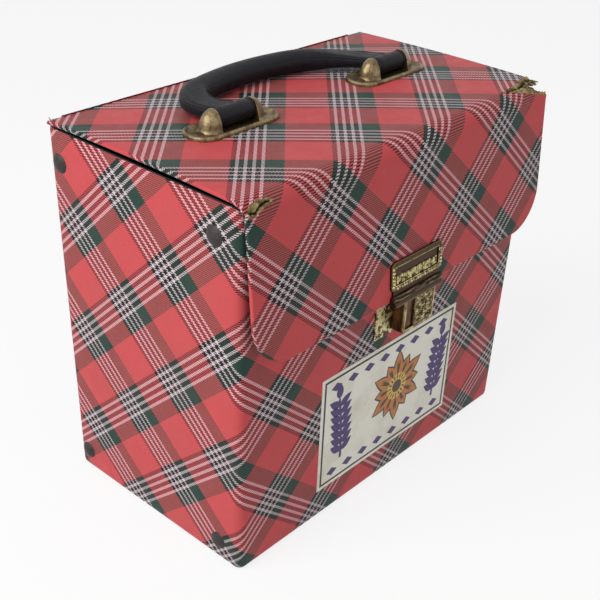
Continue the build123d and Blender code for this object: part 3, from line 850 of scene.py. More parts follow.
def make_body():
    """The covered body: plaid outside and over the rim, black paper inside."""
    form = BodyForm()
    stations = form.stations()
    skin = Skin()
    columns = []
    for place, outward, across in stations:
        section = body_profile(form, place, outward)
        column = []
        for inset, height, up in section:
            inner = place - outward * inset
            point = skin.point((inner.x, inner.y, height))
            column.append((point, cloth_place(BODY_CLOTH_START, across, up)))
        columns.append(column)
    lined = [inset for inset, _, _ in body_profile(form, *stations[0][:2]) if inset >= form.sizes.board]
    rim_row = len(columns[0]) - 1 - len(lined)
    for near, far in zip(columns, columns[1:]):
        for row in range(min(len(near), len(far)) - 1):
            ring = (near[row], far[row], far[row + 1], near[row + 1])
            skin.face([point for point, _ in ring], 0 if row <= rim_row else 1, [cloth for _, cloth in ring])
    base = [columns[k][0][0] for k in range(len(columns) - 1)]
    ground = [cloth_place(BODY_CLOTH_START, skin.points[point][0], skin.points[point][1]) for point in base]
    skin.face(list(reversed(base)), 0, list(reversed(ground)))
    skin.face([columns[k][-1][0] for k in range(len(columns) - 1)], 1)
    body = skin.piece("body_covering", [plaid_covering("body_plaid"), black_paper()])
    keep_creases(body, 50)
    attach(body, "case")
    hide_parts("body_shell")


# Lid


class LidForm:
    """The bent lid: where a point of its sheet lies in space."""

    def __init__(self):
        case, lid = settings().case, settings().lid
        self.sizes = lid
        self.board = case.board
        self.edge = case.edge
        self.rear_z = BODY_HIGH.z + lid.gap + case.board
        self.front_z = self.rear_z + lid.front_rise
        self.rear_y = BODY_HIGH.y
        self.bend_y = BODY_LOW.y - lid.standoff + lid.bend
        self.bend_z = self.front_z - lid.bend
        self.turn = math.radians(90) - lid.lean
        self.top_length = self.rear_y - self.bend_y
        self.bend_length = lid.bend * self.turn
        half = math.hypot(self.top_length, lid.front_rise) / 2
        reach = math.sqrt(lid.crown**2 - half**2)
        self.crown_y = (self.rear_y + self.bend_y) / 2 - reach * lid.front_rise / (2 * half)
        self.crown_z = (self.rear_z + self.front_z) / 2 - reach * self.top_length / (2 * half)

    def top(self, y):
        """Height of the outer face of the top."""
        return self.crown_z + math.sqrt(self.sizes.crown**2 - (y - self.crown_y) ** 2)

    def place(self, x, along, depth=0.0):
        """A point: along is 0 where the bend starts, grows to the back and falls down the flap."""
        if along >= 0:
            y = self.bend_y + along
            return Vector((x, y, self.top(y) - depth))
        turned = min(-along / self.sizes.bend, self.turn)
        radius = self.sizes.bend - depth
        y = self.bend_y - radius * math.sin(turned)
        z = self.bend_z + radius * math.cos(turned)
        run = -along - self.sizes.bend * turned
        return Vector((x, y - run * math.sin(self.sizes.lean), z - run * math.cos(self.sizes.lean)))

    def flap_end(self, x):
        """How far down the flap reaches at a place across it."""
        radius = self.sizes.flap_corner
        inset = radius - min(x - LID_LOW.x, LID_HIGH.x - x, radius)
        return self.sizes.flap - radius + math.sqrt(max(radius**2 - inset**2, 0))

    def out(self):
        """The flap's outward direction."""
        return Vector((0, -math.cos(self.sizes.lean), math.sin(self.sizes.lean)))

    def cloth(self, x, along):
        """The place in the pattern, eased over the bend from the top's to the flap's."""
        share = blend_share(-along, 0, self.bend_length)
        start = Vector(TOP_CLOTH_START).lerp(Vector(FLAP_CLOTH_START), share)
        return cloth_place(start, x - BODY_LOW.x, along)


# The torn places, as lines of (across, along) in metres: a short one at the bend's left end, a longer one
# at its right end, and in that the notch where the board is gone.
LEFT_UPPER = (
    (-0.1075, -0.0078), (-0.1035, -0.0058), (-0.0985, -0.0052), (-0.0945, -0.0060), (-0.0910, -0.0076),
)
LEFT_LOWER = (
    (-0.1075, -0.0118), (-0.1045, -0.0112), (-0.0990, -0.0094), (-0.0945, -0.0082), (-0.0910, -0.0076),
)
LEFT_CRACK = (
    (-0.1062, -0.0092), (-0.1030, -0.0096), (-0.0995, -0.0078), (-0.0960, -0.0069), (-0.0930, -0.0073),
)
RIGHT_UPPER = (
    (0.0780, -0.0008), (0.0860, -0.0004), (0.0950, 0.0012), (0.1035, 0.0034), (0.1080, 0.0046),
    (0.1115, 0.0046),
)
RIGHT_LOWER = (
    (0.0780, -0.0008), (0.0860, -0.0040), (0.0935, -0.0066), (0.1040, -0.0094), (0.1115, -0.0116),
)
RIGHT_CRACK = (
    (0.0820, -0.0016), (0.0900, -0.0020), (0.0960, -0.0018), (0.1010, -0.0002), (0.1050, 0.0010),
    (0.1115, 0.0012),
)
NOTCH_UPPER = (
    (0.0985, -0.0038), (0.1020, -0.0010), (0.1056, 0.0004), (0.1074, -0.0024), (0.1088, -0.0026),
    (0.1098, 0.0018), (0.1115, 0.0032),
)
NOTCH_LOWER = ((0.0985, -0.0038), (0.1020, -0.0068), (0.1060, -0.0084), (0.1115, -0.0102))
TEARS = ((LEFT_UPPER, LEFT_LOWER, LEFT_CRACK), (RIGHT_UPPER, RIGHT_LOWER, RIGHT_CRACK))


def line_at(line, x):
    """The height of a line of points at x, or None beyond its ends."""
    for (x0, y0), (x1, y1) in zip(line, line[1:]):
        if x0 <= x <= x1:
            return y0 + (y1 - y0) * (x - x0) / (x1 - x0)
    return None


def torn_at(x, along):
    """How torn the covering is at a point, from 0 to 1, and how deep its crack is."""
    margin, softness, ragged, wander = 0.001, 0.0008, 0.0006, 0.0012
    crack_width, crack_widening, widening_start, widening_end = 0.00065, 0.0008, 0.088, 0.102
    for upper, lower, crack in TEARS:
        high, low = line_at(upper, x), line_at(lower, x)
        if high is None or not low - margin < along < high + margin:
            continue
        inside = min(high - along, along - low) + rough((x, along, 3), 700, ragged)
        torn = min(max(0.5 + inside / softness, 0.0), 1.0)
        middle = line_at(crack, x)
        if middle is None:
            return torn, 0.0
        off = along - middle + rough((x, 0, 5), 500, wander)
        width = crack_width + crack_widening * blend_share(x, widening_start, widening_end)
        return torn, torn * math.exp(-((off / width) ** 2))
    return 0.0, 0.0


def puffed(x, along, torn):
    """How far the covering stands proud: curled up along a tear's rim and puffed within it."""
    curl_height, curled_at, curl_width, puff, unevenness = 0.0005, 0.45, 0.22, 0.0003, 0.0009
    if not torn:
        return 0.0
    curl = curl_height * math.exp(-(((torn - curled_at) / curl_width) ** 2))
    return curl + (puff + rough((x, along, 1), 1100, unevenness)) * torn


def is_gap(x, along):
    """Whether the board is gone, at the right end of the bend."""
    high, low = line_at(NOTCH_UPPER, x), line_at(NOTCH_LOWER, x)
    if high is None:
        return False
    ragged = rough((x, along, 0), 900, 0.0012)
    return low + ragged < along < high + ragged


def lid_columns(form):
    """Places across the lid, close together near its rounded and torn ends."""
    fine, middling, coarse = 0.0008, 0.0016, 0.006
    beside, left_torn, right_torn, right_run = 0.004, 0.018, 0.032, 0.036
    corner = form.sizes.flap_corner
    near = [form.edge * share for share in (0, 0.12, 0.5, 1)]
    near += steps(form.edge, beside, fine)[1:]
    near += [corner * (1 - math.cos(math.radians(turn))) for turn in range(36, 90, 6)] + [corner]
    left = {round(value, 6) for value in near + steps(beside, left_torn, fine)}
    middle = steps(LID_LOW.x + corner, LID_HIGH.x - right_run, coarse)[1:-1]
    near += steps(corner, right_run, middling)[1:]
    right = {round(value, 6) for value in near + steps(beside, right_torn, fine)}
    columns = [LID_LOW.x + value for value in sorted(left)] + middle
    return columns + [LID_HIGH.x - value for value in sorted(right, reverse=True)]


def lid_rows(form):
    """Places along the lid, from the rear edge to the foot of the bend."""
    fine, coarse, bend_step, worn = 0.0008, 0.008, 0.0007, 0.006
    rear = form.sizes.rear
    top = [form.top_length - rear * share for share in (0, 0.08, 0.3, 0.6, 1)]
    top += steps(form.top_length - rear, worn, coarse)[1:] + steps(worn, 0.0, fine)[1:]
    return top + [-value for value in steps(0, form.bend_length, bend_step)[1:]]


def lid_grid(form, skin, columns):
    """The lid's points, column by column, each with its inner one and its place along the sheet.

    Beside them come lists of how torn and how cracked the covering is at each point.
    """
    inner_rounding = 0.8
    upper = lid_rows(form)
    flap_shares = steps(0, 0.94, 0.05)[1:] + [0.97, 0.985, 0.994, 1.0]
    grid, tears, cracks = [], [], []
    for x in columns:
        side_drop = rounded_drop(min(x - LID_LOW.x, LID_HIGH.x - x), form.edge)
        length = form.flap_end(x)
        rows = [(along, rounded_drop(form.top_length - along, form.sizes.rear), 0.0) for along in upper]
        for share in flap_shares:
            foot = rounded_drop(length * (1 - share), form.edge)
            rows.append((-form.bend_length - share * length, foot, foot))
        column = []
        for along, drop, foot in rows:
            torn, crack = torn_at(x, along)
            depth = max(drop, side_drop) + form.sizes.tear_depth * crack - puffed(x, along, torn)
            outer = skin.point(form.place(x, along, depth))
            inner = skin.point(form.place(x, along, form.board - max(side_drop, foot) * inner_rounding))
            tears += [torn, torn]
            cracks += [crack, 0.0]
            column.append((outer, inner, along))
        grid.append(column)
    return grid, tears, cracks


def lid_faces(form, skin, columns, grid):
    """Both sides of the lid and, wherever a neighbour is missing, the covering turned over the edge."""
    last_column, last_row = len(columns) - 1, len(grid[0]) - 1

    def kept(column, row):
        if not (0 <= column < last_column and 0 <= row < last_row):
            return False
        x = (columns[column] + columns[column + 1]) / 2
        along = (grid[column][row][2] + grid[column][row + 1][2]) / 2
        return not is_gap(x, along)

    def cloth(column, row, wrap_x=0, wrap_along=0):
        along = grid[column][row][2] + wrap_along * form.board
        return form.cloth(columns[column] + wrap_x * form.board, along)

    for column in range(last_column):
        for row in range(last_row):
            if not kept(column, row):
                continue
            ring = [(column, row), (column, row + 1), (column + 1, row + 1), (column + 1, row)]
            skin.face([grid[c][r][0] for c, r in ring], 0, [cloth(c, r) for c, r in ring])
            skin.face([grid[c][r][1] for c, r in reversed(ring)], 1)
            for k, (across, down) in enumerate(((-1, 0), (0, 1), (1, 0), (0, -1))):
                if kept(column + across, row + down):
                    continue
                near, far = ring[k], ring[(k + 1) % 4]
                (near_out, near_in, _), (far_out, far_in, _) = (grid[c][r] for c, r in (near, far))
                turned = [cloth(*near, across, -down), cloth(*far, across, -down)]
                skin.face([far_out, near_out, near_in, far_in], 0, [cloth(*far), cloth(*near), *turned])


def make_lid():
    """The covered lid, torn open at both ends of its bend."""
    form = LidForm()
    columns = lid_columns(form)
    skin = Skin()
    grid, tears, cracks = lid_grid(form, skin, columns)
    lid_faces(form, skin, columns, grid)
    lid = skin.piece("lid_covering", [plaid_covering("lid_plaid", torn=True), black_paper()])
    give_points(lid, "tear", tears)
    give_points(lid, "crack", cracks)
    keep_creases(lid, 50)
    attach(lid, "lid")
    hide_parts("lid_board")


def make_hinge():
    """The strip of covering that runs over the back edge."""
    upright_step, turn_step, column_step = 0.0008, 0.12, 0.006
    form = LidForm()
    low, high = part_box("hinge_fold")
    strip = form.sizes.strip
    centre_y = form.rear_y - form.sizes.rear
    outer = high.y - centre_y
    centre_z = high.z - outer
    path = [Vector((high.y, height)) for height in steps(low.z, centre_z, upright_step)]
    for turned in steps(0, math.pi / 2, turn_step)[1:]:
        path.append(Vector((centre_y, centre_z)) + pointing(turned) * outer)
    runs = [form.top_length]
    for above, below in zip(path[::-1], path[-2::-1]):
        runs.insert(0, runs[0] + (above - below).length)
    skin = Skin()
    face, back, cloth = [], [], []
    for x in steps(high.x, low.x, column_step):
        outside, inside = [], []
        for k, place in enumerate(path):
            along = (path[min(k + 1, len(path) - 1)] - path[max(k - 1, 0)]).normalized()
            inner = place + Vector((-along.y, along.x)) * strip
            outside.append(skin.point((x, *place)))
            inside.append(skin.point((x, *inner)))
        face.append(outside)
        back.append(inside)
        cloth.append([cloth_place(TOP_CLOTH_START, x - BODY_LOW.x, run) for run in runs])
    skin.sheet(face, back, cloth, back_material=1)
    hinge = skin.piece("hinge_strip", [plaid_covering("hinge_plaid"), covered_edge()])
    keep_creases(hinge, 50)
    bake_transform(hinge)
    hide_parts("hinge_fold")


# Handle


def turned_right(direction, turn):
    """A flat direction turned clockwise."""
    return Vector(
        (
            direction.x * math.cos(turn) + direction.y * math.sin(turn),
            -direction.x * math.sin(turn) + direction.y * math.cos(turn),
        )
    )


def arc_stations(start, heading, radius, sweep, count):
    """Places and headings along an arc that bends to the right."""
    to_centre = Vector((heading.y, -heading.x)) * radius
    centre = start + to_centre
    return [
        (centre - turned_right(to_centre, sweep * k / count), turned_right(heading, sweep * k / count))
        for k in range(count + 1)
    ]


def handle_line():
    """The handle's centreline behind its pins, in the handle's own plane: places and headings."""
    sizes = settings().handle
    half = (PINS[1].x - PINS[0].x) / 2
    heading = Vector((-math.sin(sizes.splay), math.cos(sizes.splay)))
    line = arc_stations(Vector((-half, sizes.start)), heading, sizes.shoulder, sizes.shoulder_arc, 16)
    line += arc_stations(*line[-1], sizes.crown, sizes.crown_arc, 14)[1:]
    place, heading = line[-1]
    chord = Vector((half, sizes.start)) - place
    lead = heading.angle_signed(chord)
    line += arc_stations(place, heading, chord.length / (2 * math.sin(lead)), 2 * lead, 20)[1:]
    return line


# How many points a ring of the leather has, and which of them carry the raised lines along its edges.
LEATHER_POINTS = 56
WELT_POINTS = (5, 23, 33, 51)


def handle_section(place, heading, width, thick, flat):
    """One ring of the leather: square-shouldered and creased where flat is 1, round where it is 0."""
    squareness, crease_depth, crease_place, crease_width = 1.6, 0.16, 0.78, 0.06
    across = Vector((heading.y, -heading.x, 0))
    power = 2 / (2 + squareness * flat)
    middle = Vector(((PINS[0].x + PINS[1].x) / 2 + place.x, PINS[0].y + place.y, PINS[0].z))
    ring = []
    for turned in turns_of(LEATHER_POINTS):
        u = math.copysign(abs(math.cos(turned)) ** power, math.cos(turned))
        v = math.copysign(abs(math.sin(turned)) ** power, math.sin(turned))
        v *= 1 - crease_depth * flat * math.exp(-(((abs(u) - crease_place) / crease_width) ** 2))
        ring.append(middle + across * (u * width / 2) + Vector((0, 0, v * thick / 2)))
    return ring


def handle_stations():
    """Sections of the leather from pin to pin: place, heading, width, thickness and how flat it is."""
    sizes = settings().handle
    line = handle_line()
    half = (PINS[1].x - PINS[0].x) / 2
    joined_width = sizes.tab_width - 0.001
    left_start, right_start, right_run = 0.008, 0.006, 0.044
    stations = []
    for share in (0, 0.25, 0.5, 0.75):
        heading = Vector((-math.sin(sizes.splay * share), math.cos(sizes.splay * share)))
        width = joined_width + (sizes.strap_width - joined_width) * share
        stations.append((Vector((-half, sizes.start * share)), heading, width, sizes.strap_thick, 1.0))
    lengths = [0.0]
    for (place, _), (after, _) in zip(line, line[1:]):
        lengths.append(lengths[-1] + (after - place).length)
    left_run = sizes.shoulder * sizes.shoulder_arc
    for (place, heading), run in zip(line, lengths):
        left = blend_share(run, left_start, left_run)
        right = blend_share(lengths[-1] - run, right_start, right_run)
        round_share = min(left, right)
        width = sizes.strap_width + (sizes.grip_width - sizes.strap_width) * round_share
        thick = sizes.strap_thick + (sizes.grip_thick - sizes.strap_thick) * round_share
        stations.append((place, heading, width, thick, 1 - round_share))
    end_place, end_heading = line[-1]
    for share in (0.25, 0.5, 0.75, 1):
        heading = end_heading.lerp(Vector((0, -1)), share).normalized()
        width = sizes.strap_width + (joined_width - sizes.strap_width) * share
        stations.append((end_place.lerp(Vector((half, 0)), share), heading, width, sizes.strap_thick, 1.0))
    return stations


def make_handle():
    """The padded leather handle with its flat strap ends and the raised lines along its edges."""
    stations = handle_stations()
    rings = [handle_section(*station) for station in stations]
    radii = [settings().handle.welt * (0.3 + 0.7 * flat) for *_, flat in stations]
    skin = Skin()
    skin.loft([[skin.point(place) for place in ring] for ring in rings])
    for corner in WELT_POINTS:
        tube(skin, [ring[corner] for ring in rings], radii, Vector((0, 0, 1)))
    leather = handle_leather()
    grip = skin.piece("leather_grip", [leather])
    keep_creases(grip, 60)
    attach(grip, "handle")
    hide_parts("handle_grip")
    for side, pin in zip(("left", "right"), PINS):
        make_tab(f"{side}_strap_tab", pin, leather)


def make_tab(name, pin, leather):
    """The leather looped round a pin, creased near its two edges."""
    sizes = settings().handle
    around, wave, unevenness = 40, 0.02, 0.02
    half = sizes.tab_width / 2
    outline = [(0, 0.38), (0, 0.86), (0.00015, 0.95), (0.0005, 1.0), (0.0012, 0.99)]
    outline += [(0.0015, 0.93), (0.0018, 0.98), (0.0040, 1.0)]
    outline = [(along, share * sizes.tab_radius) for along, share in outline]
    profile = outline + [(sizes.tab_width - along, radius) for along, radius in reversed(outline)]
    skin = Skin()
    rings = []
    for along, radius in profile:
        ring = []
        for k, turned in enumerate(turns_of(around)):
            bulge = 1 + wave * math.sin(3 * turned) + rough((along * 8, k, pin.x), 0.7, unevenness)
            y = math.cos(turned) * radius * bulge
            z = math.sin(turned) * radius * bulge
            ring.append(skin.point(pin + Vector((along - half, y, z))))
        rings.append(ring)
    skin.loft(rings)
    tab = skin.piece(name, [leather])
    keep_creases(tab, 60)
    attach(tab, "handle")
    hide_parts("handle_grip")


# How many points a ring of a cord has, if nothing else is said.
CORD_POINTS = 8


def tube(skin, path, radii, up, closed=False, around=CORD_POINTS):
    """A round cord along a path, with its own radius at each point."""
    last = len(path) - 1
    turns = turns_of(around)
    rings = []
    for k, (place, radius) in enumerate(zip(path, radii)):
        ahead = path[(k + 1) % len(path)] if closed else path[min(k + 1, last)]
        behind = path[k - 1] if closed else path[max(k - 1, 0)]
        along = (ahead - behind).normalized()
        side = along.cross(up).normalized()
        over = side.cross(along)
        rings.append([skin.point(place + (side * math.cos(t) + over * math.sin(t)) * radius) for t in turns])
    if closed:
        skin.loft(rings + rings[:1], caps=False)
    else:
        skin.loft(rings)


def rounded_path(width, height, corner, spacing):
    """Flat points round a rectangle with rounded corners, about its middle."""
    parts = 8
    path = []
    for turn, (x, y) in enumerate(((1, 1), (-1, 1), (-1, -1), (1, -1))):
        centre = Vector((x * (width / 2 - corner), y * (height / 2 - corner)))
        for k in range(parts + 1):
            path.append(centre + pointing(math.radians(90 * turn + 90 * k / parts)) * corner)
    even = []
    for here, after in zip(path, path[1:] + path[:1]):
        count = max(1, round((after - here).length / spacing))
        even += [here.lerp(after, k / count) for k in range(count)]
    return even


# Handle plates


def add_ear(skin, pin, seat, sign):
    """A bell that stands on the plate, cut flat on the side towards the leather."""
    sizes = settings().plates
    sunk, fullness, taper, fan_step = 0.0003, 2.5, 0.62, 6
    face_x = pin.x + sign * sizes.gap / 2
    foot = seat + sizes.web - sunk
    tall = pin.z + sizes.ear_height - foot
    shares = [0, 0.2, 0.38, 0.54, 0.67, 0.78, 0.87, 0.93, 0.965, 0.985]
    spreads = [0.1, 0.3, 0.6, 1.0]
    levels = [(share, foot + tall * (1 - share**fullness) ** taper) for share in shares]
    levels += [(1 + sizes.flare * spread, foot + sizes.fillet * (1 - spread) ** 2) for spread in spreads]
    fan = [math.radians(turn) for turn in range(-90, 91, fan_step)]
    grid = []
    for share, height in levels:
        row = []
        for bearing in fan:
            x = face_x + sign * sizes.ear_length * share * math.cos(bearing)
            y = pin.y + sizes.ear_width * share * math.sin(bearing)
            row.append(skin.point((x, y, height)))
        grid.append(row)
    for near, far in zip(grid, grid[1:]):
        for k in range(len(fan) - 1):
            skin.face((near[k], far[k], far[k + 1], near[k + 1])[::sign])
        skin.face((near[0], near[-1], far[-1], far[0])[::sign])
    skin.face(tuple(grid[-1])[::-sign])


def make_plate(side, pin, brass):
    """A cast plate with a raised rim, rounded ends and two bell-shaped ears."""
    sizes = settings().plates
    low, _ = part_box(f"{side}_handle_plate")
    seat = low.z
    profile = [(0, 0), (0, 0.55), (0.0003, 0.85), (0.0009, 1.0), (0.0015, 0.95), (0.0021, 0.60)]
    levels = [(inset, share * sizes.rim) for inset, share in profile] + [(0.0027, sizes.web)]
    skin = Skin()
    rings = []
    for inset, height in levels:
        corner = sizes.corner - inset
        path = rounded_path(sizes.length - 2 * inset, sizes.width - 2 * inset, corner, 1)
        rings.append([skin.point((pin.x + p.x, pin.y + p.y, seat + height)) for p in path])
    skin.loft(rings)
    for sign in (-1, 1):
        add_ear(skin, pin, seat, sign)
    plate = skin.piece(f"{side}_plate_casting", [brass])
    keep_creases(plate, 75)
    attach(plate, "lid")
    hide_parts(f"{side}_handle_plate")


# Hasp and lock


def pebble(skin, centre, radius):
    """A small six-sided dome on a face that looks to the front."""
    height = 0.7 * radius
    rings = []
    for turned in (0, math.pi / 4):
        reach, stand = radius * math.cos(turned), height * math.sin(turned)
        ring = [(reach * math.cos(t), -stand, reach * math.sin(t)) for t in turns_of(6)]
        rings.append([skin.point(centre + Vector(point)) for point in ring])
    skin.loft(rings, caps=False)
    tip = skin.point(centre + Vector((0, -height, 0)))
    for near, after in zip(rings[-1], rings[-1][1:] + rings[-1][:1]):
        skin.face((near, after, tip))


def flap_point(form, x, up, out):
    """A point near the flap: how far above its foot and in front of its face."""
    foot = form.place(x, -form.bend_length - form.sizes.flap)
    lean = form.sizes.lean
    return foot + Vector((0, math.sin(lean), math.cos(lean))) * up + form.out() * out


def make_hasp_relief():
    """The hasp's beaded border, the line inside it and the plain ridges across its panel."""
    rise, height, face = 0.0130, 0.0150, 0.0012
    border_inset, border_corner, border_step = 0.0026, 0.0016, 0.0003
    line_inset, line_corner, line_radius, line_step = 0.0052, 0.0012, 0.0003, 0.002
    ridge_reach, ridge_pitch, ridge_sunk = 0.0152, 0.0017, 0.0005
    ridge_line, ridge_radii = (-0.0042, -0.0040, 0.0002, 0.0004), (0.0003, 0.0007, 0.0007, 0.0003)
    film_above, film, roughness = 0.0040, 0.40, 0.26
    metal = settings().metal
    form = LidForm()
    low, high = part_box("hasp")
    width = high.x - low.x

    def on_hasp(flat, out):
        return flap_point(form, (low.x + high.x) / 2 + flat.x, rise + flat.y, out)

    skin = Skin()
    path = rounded_path(width - border_inset, height - border_inset, border_corner, border_step)
    length = 0.0
    radii = []
    for here, after in zip(path, path[1:] + path[:1]):
        radii.append(metal.bead * (0.72 + 0.28 * math.cos(2 * math.pi * length / metal.bead_pitch)))
        length += (after - here).length
    tube(skin, [on_hasp(flat, face) for flat in path], radii, form.out(), closed=True)
    widest, thinnest = max(radii), min(radii)
    depths = [0.9 * ((widest - radius) / (widest - thinnest)) ** 2 for radius in radii]
    hollows = [depth for depth in depths for _ in range(CORD_POINTS)]
    path = rounded_path(width - line_inset, height - line_inset, line_corner, line_step)
    tube(skin, [on_hasp(flat, face) for flat in path], [line_radius] * len(path), form.out(), closed=True)
    for x in steps(-ridge_reach, ridge_reach, ridge_pitch):
        ridge = [on_hasp(Vector((x, along)), face - ridge_sunk) for along in ridge_line]
        tube(skin, ridge, ridge_radii, form.out())
    film_height = on_hasp(Vector((0, film_above)), face).z
    brass = aged_metal("relief_brass", metal.bright, metal.dark, film, roughness, film_height)
    relief = skin.piece("hasp_relief", [brass])
    give_points(relief, "hollow", hollows + [0.0] * (len(relief.data.vertices) - len(hollows)))
    keep_creases(relief, 60)
    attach(relief, "lid")


def make_hasp_lip():
    """The thick roll along the hasp's foot, dark and polished in streaks along its length."""
    radius, rise, stand, inset, spacing = 0.0019, 0.0013, 0.0011, 0.0003, 0.004
    form = LidForm()
    low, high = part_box("hasp")
    path = [flap_point(form, x, rise, stand) for x in steps(low.x + inset, high.x - inset, spacing)]
    radii = [0.8 * radius] + [radius] * (len(path) - 2) + [0.8 * radius]
    skin = Skin()
    tube(skin, path, radii, form.out(), around=20)
    roll = skin.piece("hasp_lip_roll", [lip_bronze()])
    keep_creases(roll, 60)
    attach(roll, "lid")


def make_lock_rim():
    """The rounded rim round the lock's face."""
    inset, corner, spacing, sunk, radius = 0.0019, 0.0020, 0.002, 0.0003, 0.00085
    metal = settings().metal
    middle = (LOCK_LOW + LOCK_HIGH) / 2
    path = rounded_path(LOCK_HIGH.x - LOCK_LOW.x - inset, LOCK_HIGH.z - LOCK_LOW.z - inset, corner, spacing)
    places = [Vector((middle.x + flat.x, LOCK_LOW.y + sunk, middle.z + flat.y)) for flat in path]
    skin = Skin()
    tube(skin, places, [radius] * len(places), Vector((0, -1, 0)), closed=True)
    rim = skin.piece("lock_rim", [streaked_brass("rim_brass", metal.bright, metal.tarnish)])
    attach(rim, "case")


def make_spring(steel):
    """The coil that returns the button."""
    metal = settings().metal
    low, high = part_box("lock_spring")
    middle = (low + high) / 2
    radius = (high.y - low.y) / 2 - metal.wire
    length = high.x - low.x
    per_turn = 20
    count = per_turn * metal.turns
    path = []
    for k in range(count + 1):
        turned = 2 * math.pi * k / per_turn
        x = low.x + metal.wire + (length - 2 * metal.wire) * k / count
        path.append(Vector((x, middle.y + radius * math.cos(turned), middle.z + radius * math.sin(turned))))
    skin = Skin()
    tube(skin, path, [metal.wire] * len(path), Vector((1, 0, 0)))
    spring = skin.piece("return_spring", [steel])
    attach(spring, "case")
    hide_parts("lock_spring")
    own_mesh(spring)


def make_button_texture():
    """The raised pattern on the thumb button: uneven rows of small pebbles."""
    metal = settings().metal
    wall, play, button_width = 0.0020, 0.0003, 0.0145
    pitch, scatter, smallest, largest = 0.0012, 0.0003, 0.00045, 0.00075
    right = LOCK_HIGH.x - wall - play
    left = right - button_width
    low = LOCK_LOW.z + wall + play
    high = LOCK_HIGH.z - wall - play
    skin = Skin()
    picker = random.Random(5)
    for z in steps(low + pitch, high - pitch, pitch):
        for x in steps(left + pitch, right - pitch, pitch):
            across, up = picker.uniform(-scatter, scatter), picker.uniform(-scatter, scatter)
            pebble(skin, Vector((x + across, BUTTON_LOW.y, z + up)), picker.uniform(smallest, largest))
    brass = aged_metal("pebble_brass", metal.bright, metal.dark, film=0.5, roughness=0.3)
    pebbles = skin.piece("button_pebbles", [brass])
    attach(pebbles, "lock_button")


# Label


class Print:
    """Flat shapes in one ink, laid on the label."""

    circle_parts = 48

    def __init__(self, name, material, layer):
        self.name = name
        self.material = material
        self.skin = Skin()
        self.y = LABEL_LOW.y - settings().label.ink * layer

    def shape(self, outline, raised=0):
        """One shape from points measured right and up from the label's lower left corner."""
        y = self.y - settings().label.ink * raised
        corners = [self.skin.point((LABEL_LOW.x + u, y, LABEL_LOW.z + v)) for u, v in outline]
        self.skin.face(corners)

    def disc(self, centre, radius):
        """A filled circle."""
        self.shape([centre + pointing(t) * radius for t in turns_of(self.circle_parts)])

    def ring(self, centre, inner, outer):
        """A flat ring."""
        turns = turns_of(self.circle_parts)
        for near, far in zip(turns, turns[1:] + turns[:1]):
            corners = ((inner, near), (outer, near), (outer, far), (inner, far))
            self.shape([centre + pointing(t) * radius for radius, t in corners])

    def leaf(self, root, bearing, length, width, raised=0):
        """A pointed leaf or petal."""
        along = pointing(bearing)
        side = Vector((-along.y, along.x))
        left = []
        right = []
        for share in steps(0, 1, 0.125):
            middle = Vector(root) + along * (length * share)
            reach = side * (width / 2 * math.sin(math.pi * share**0.8))
            left.append(middle + reach)
            right.append(middle - reach)
        self.shape(right + left[-2:0:-1], raised)

    def stroke(self, points, width):
        """A line of even width through points."""
        for start, end in zip(points, points[1:]):
            start, end = Vector(start), Vector(end)
            along = (end - start).normalized() * (width / 2)
            side = Vector((-along.y, along.x))
            self.shape([start - side, end - side, end + side, start + side])

    def finish(self):
        """The printed piece on the case."""
        made = self.skin.piece(self.name, [self.material], smooth=False)
        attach(made, "case")


def frame_line(ink, width, height, margin, line):
    """A rectangular line inside the label's edge."""
    u0, u1, v0, v1 = margin, width - margin, margin, height - margin
    ink.shape([(u0, v0), (u1, v0), (u1, v0 + line), (u0, v0 + line)])
    ink.shape([(u0, v1 - line), (u1, v1 - line), (u1, v1), (u0, v1)])
    ink.shape([(u0, v0 + line), (u0 + line, v0 + line), (u0 + line, v1 - line), (u0, v1 - line)])
    ink.shape([(u1 - line, v0 + line), (u1, v0 + line), (u1, v1 - line), (u1 - line, v1 - line)])


def make_label():
    """A printed paper label: a large bloom, two sprigs and a row of lozenges inside a frame line."""
    look = settings().label
    width, height = LABEL_HIGH.x - LABEL_LOW.x, LABEL_HIGH.z - LABEL_LOW.z
    make_label_sheet()
    black = Print("label_frame", printed_ink("ink_black", look.frame_black), 1)
    frame_line(black, width, height, look.margin, look.line)
    black.finish()
    make_bloom(Vector((width * 0.56, height * 0.54)))
    purple = Print("label_sprigs", printed_ink("ink_purple", look.purple), 1)
    make_sprigs(purple, width, height)
    purple.finish()


def make_label_sheet():
    """The label's bare paper."""
    spacing = 0.004
    skin = Skin()
    columns = steps(LABEL_LOW.x, LABEL_HIGH.x, spacing)
    rows = steps(LABEL_LOW.z, LABEL_HIGH.z, spacing)
    front = [[skin.point((x, LABEL_LOW.y, z)) for z in rows] for x in columns]
    back = [[skin.point((x, LABEL_HIGH.y, z)) for z in rows] for x in columns]
    skin.sheet(front, back)
    paper = skin.piece("label_sheet", [label_paper()])
    keep_creases(paper)
    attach(paper, "case")
    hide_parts("front_label")


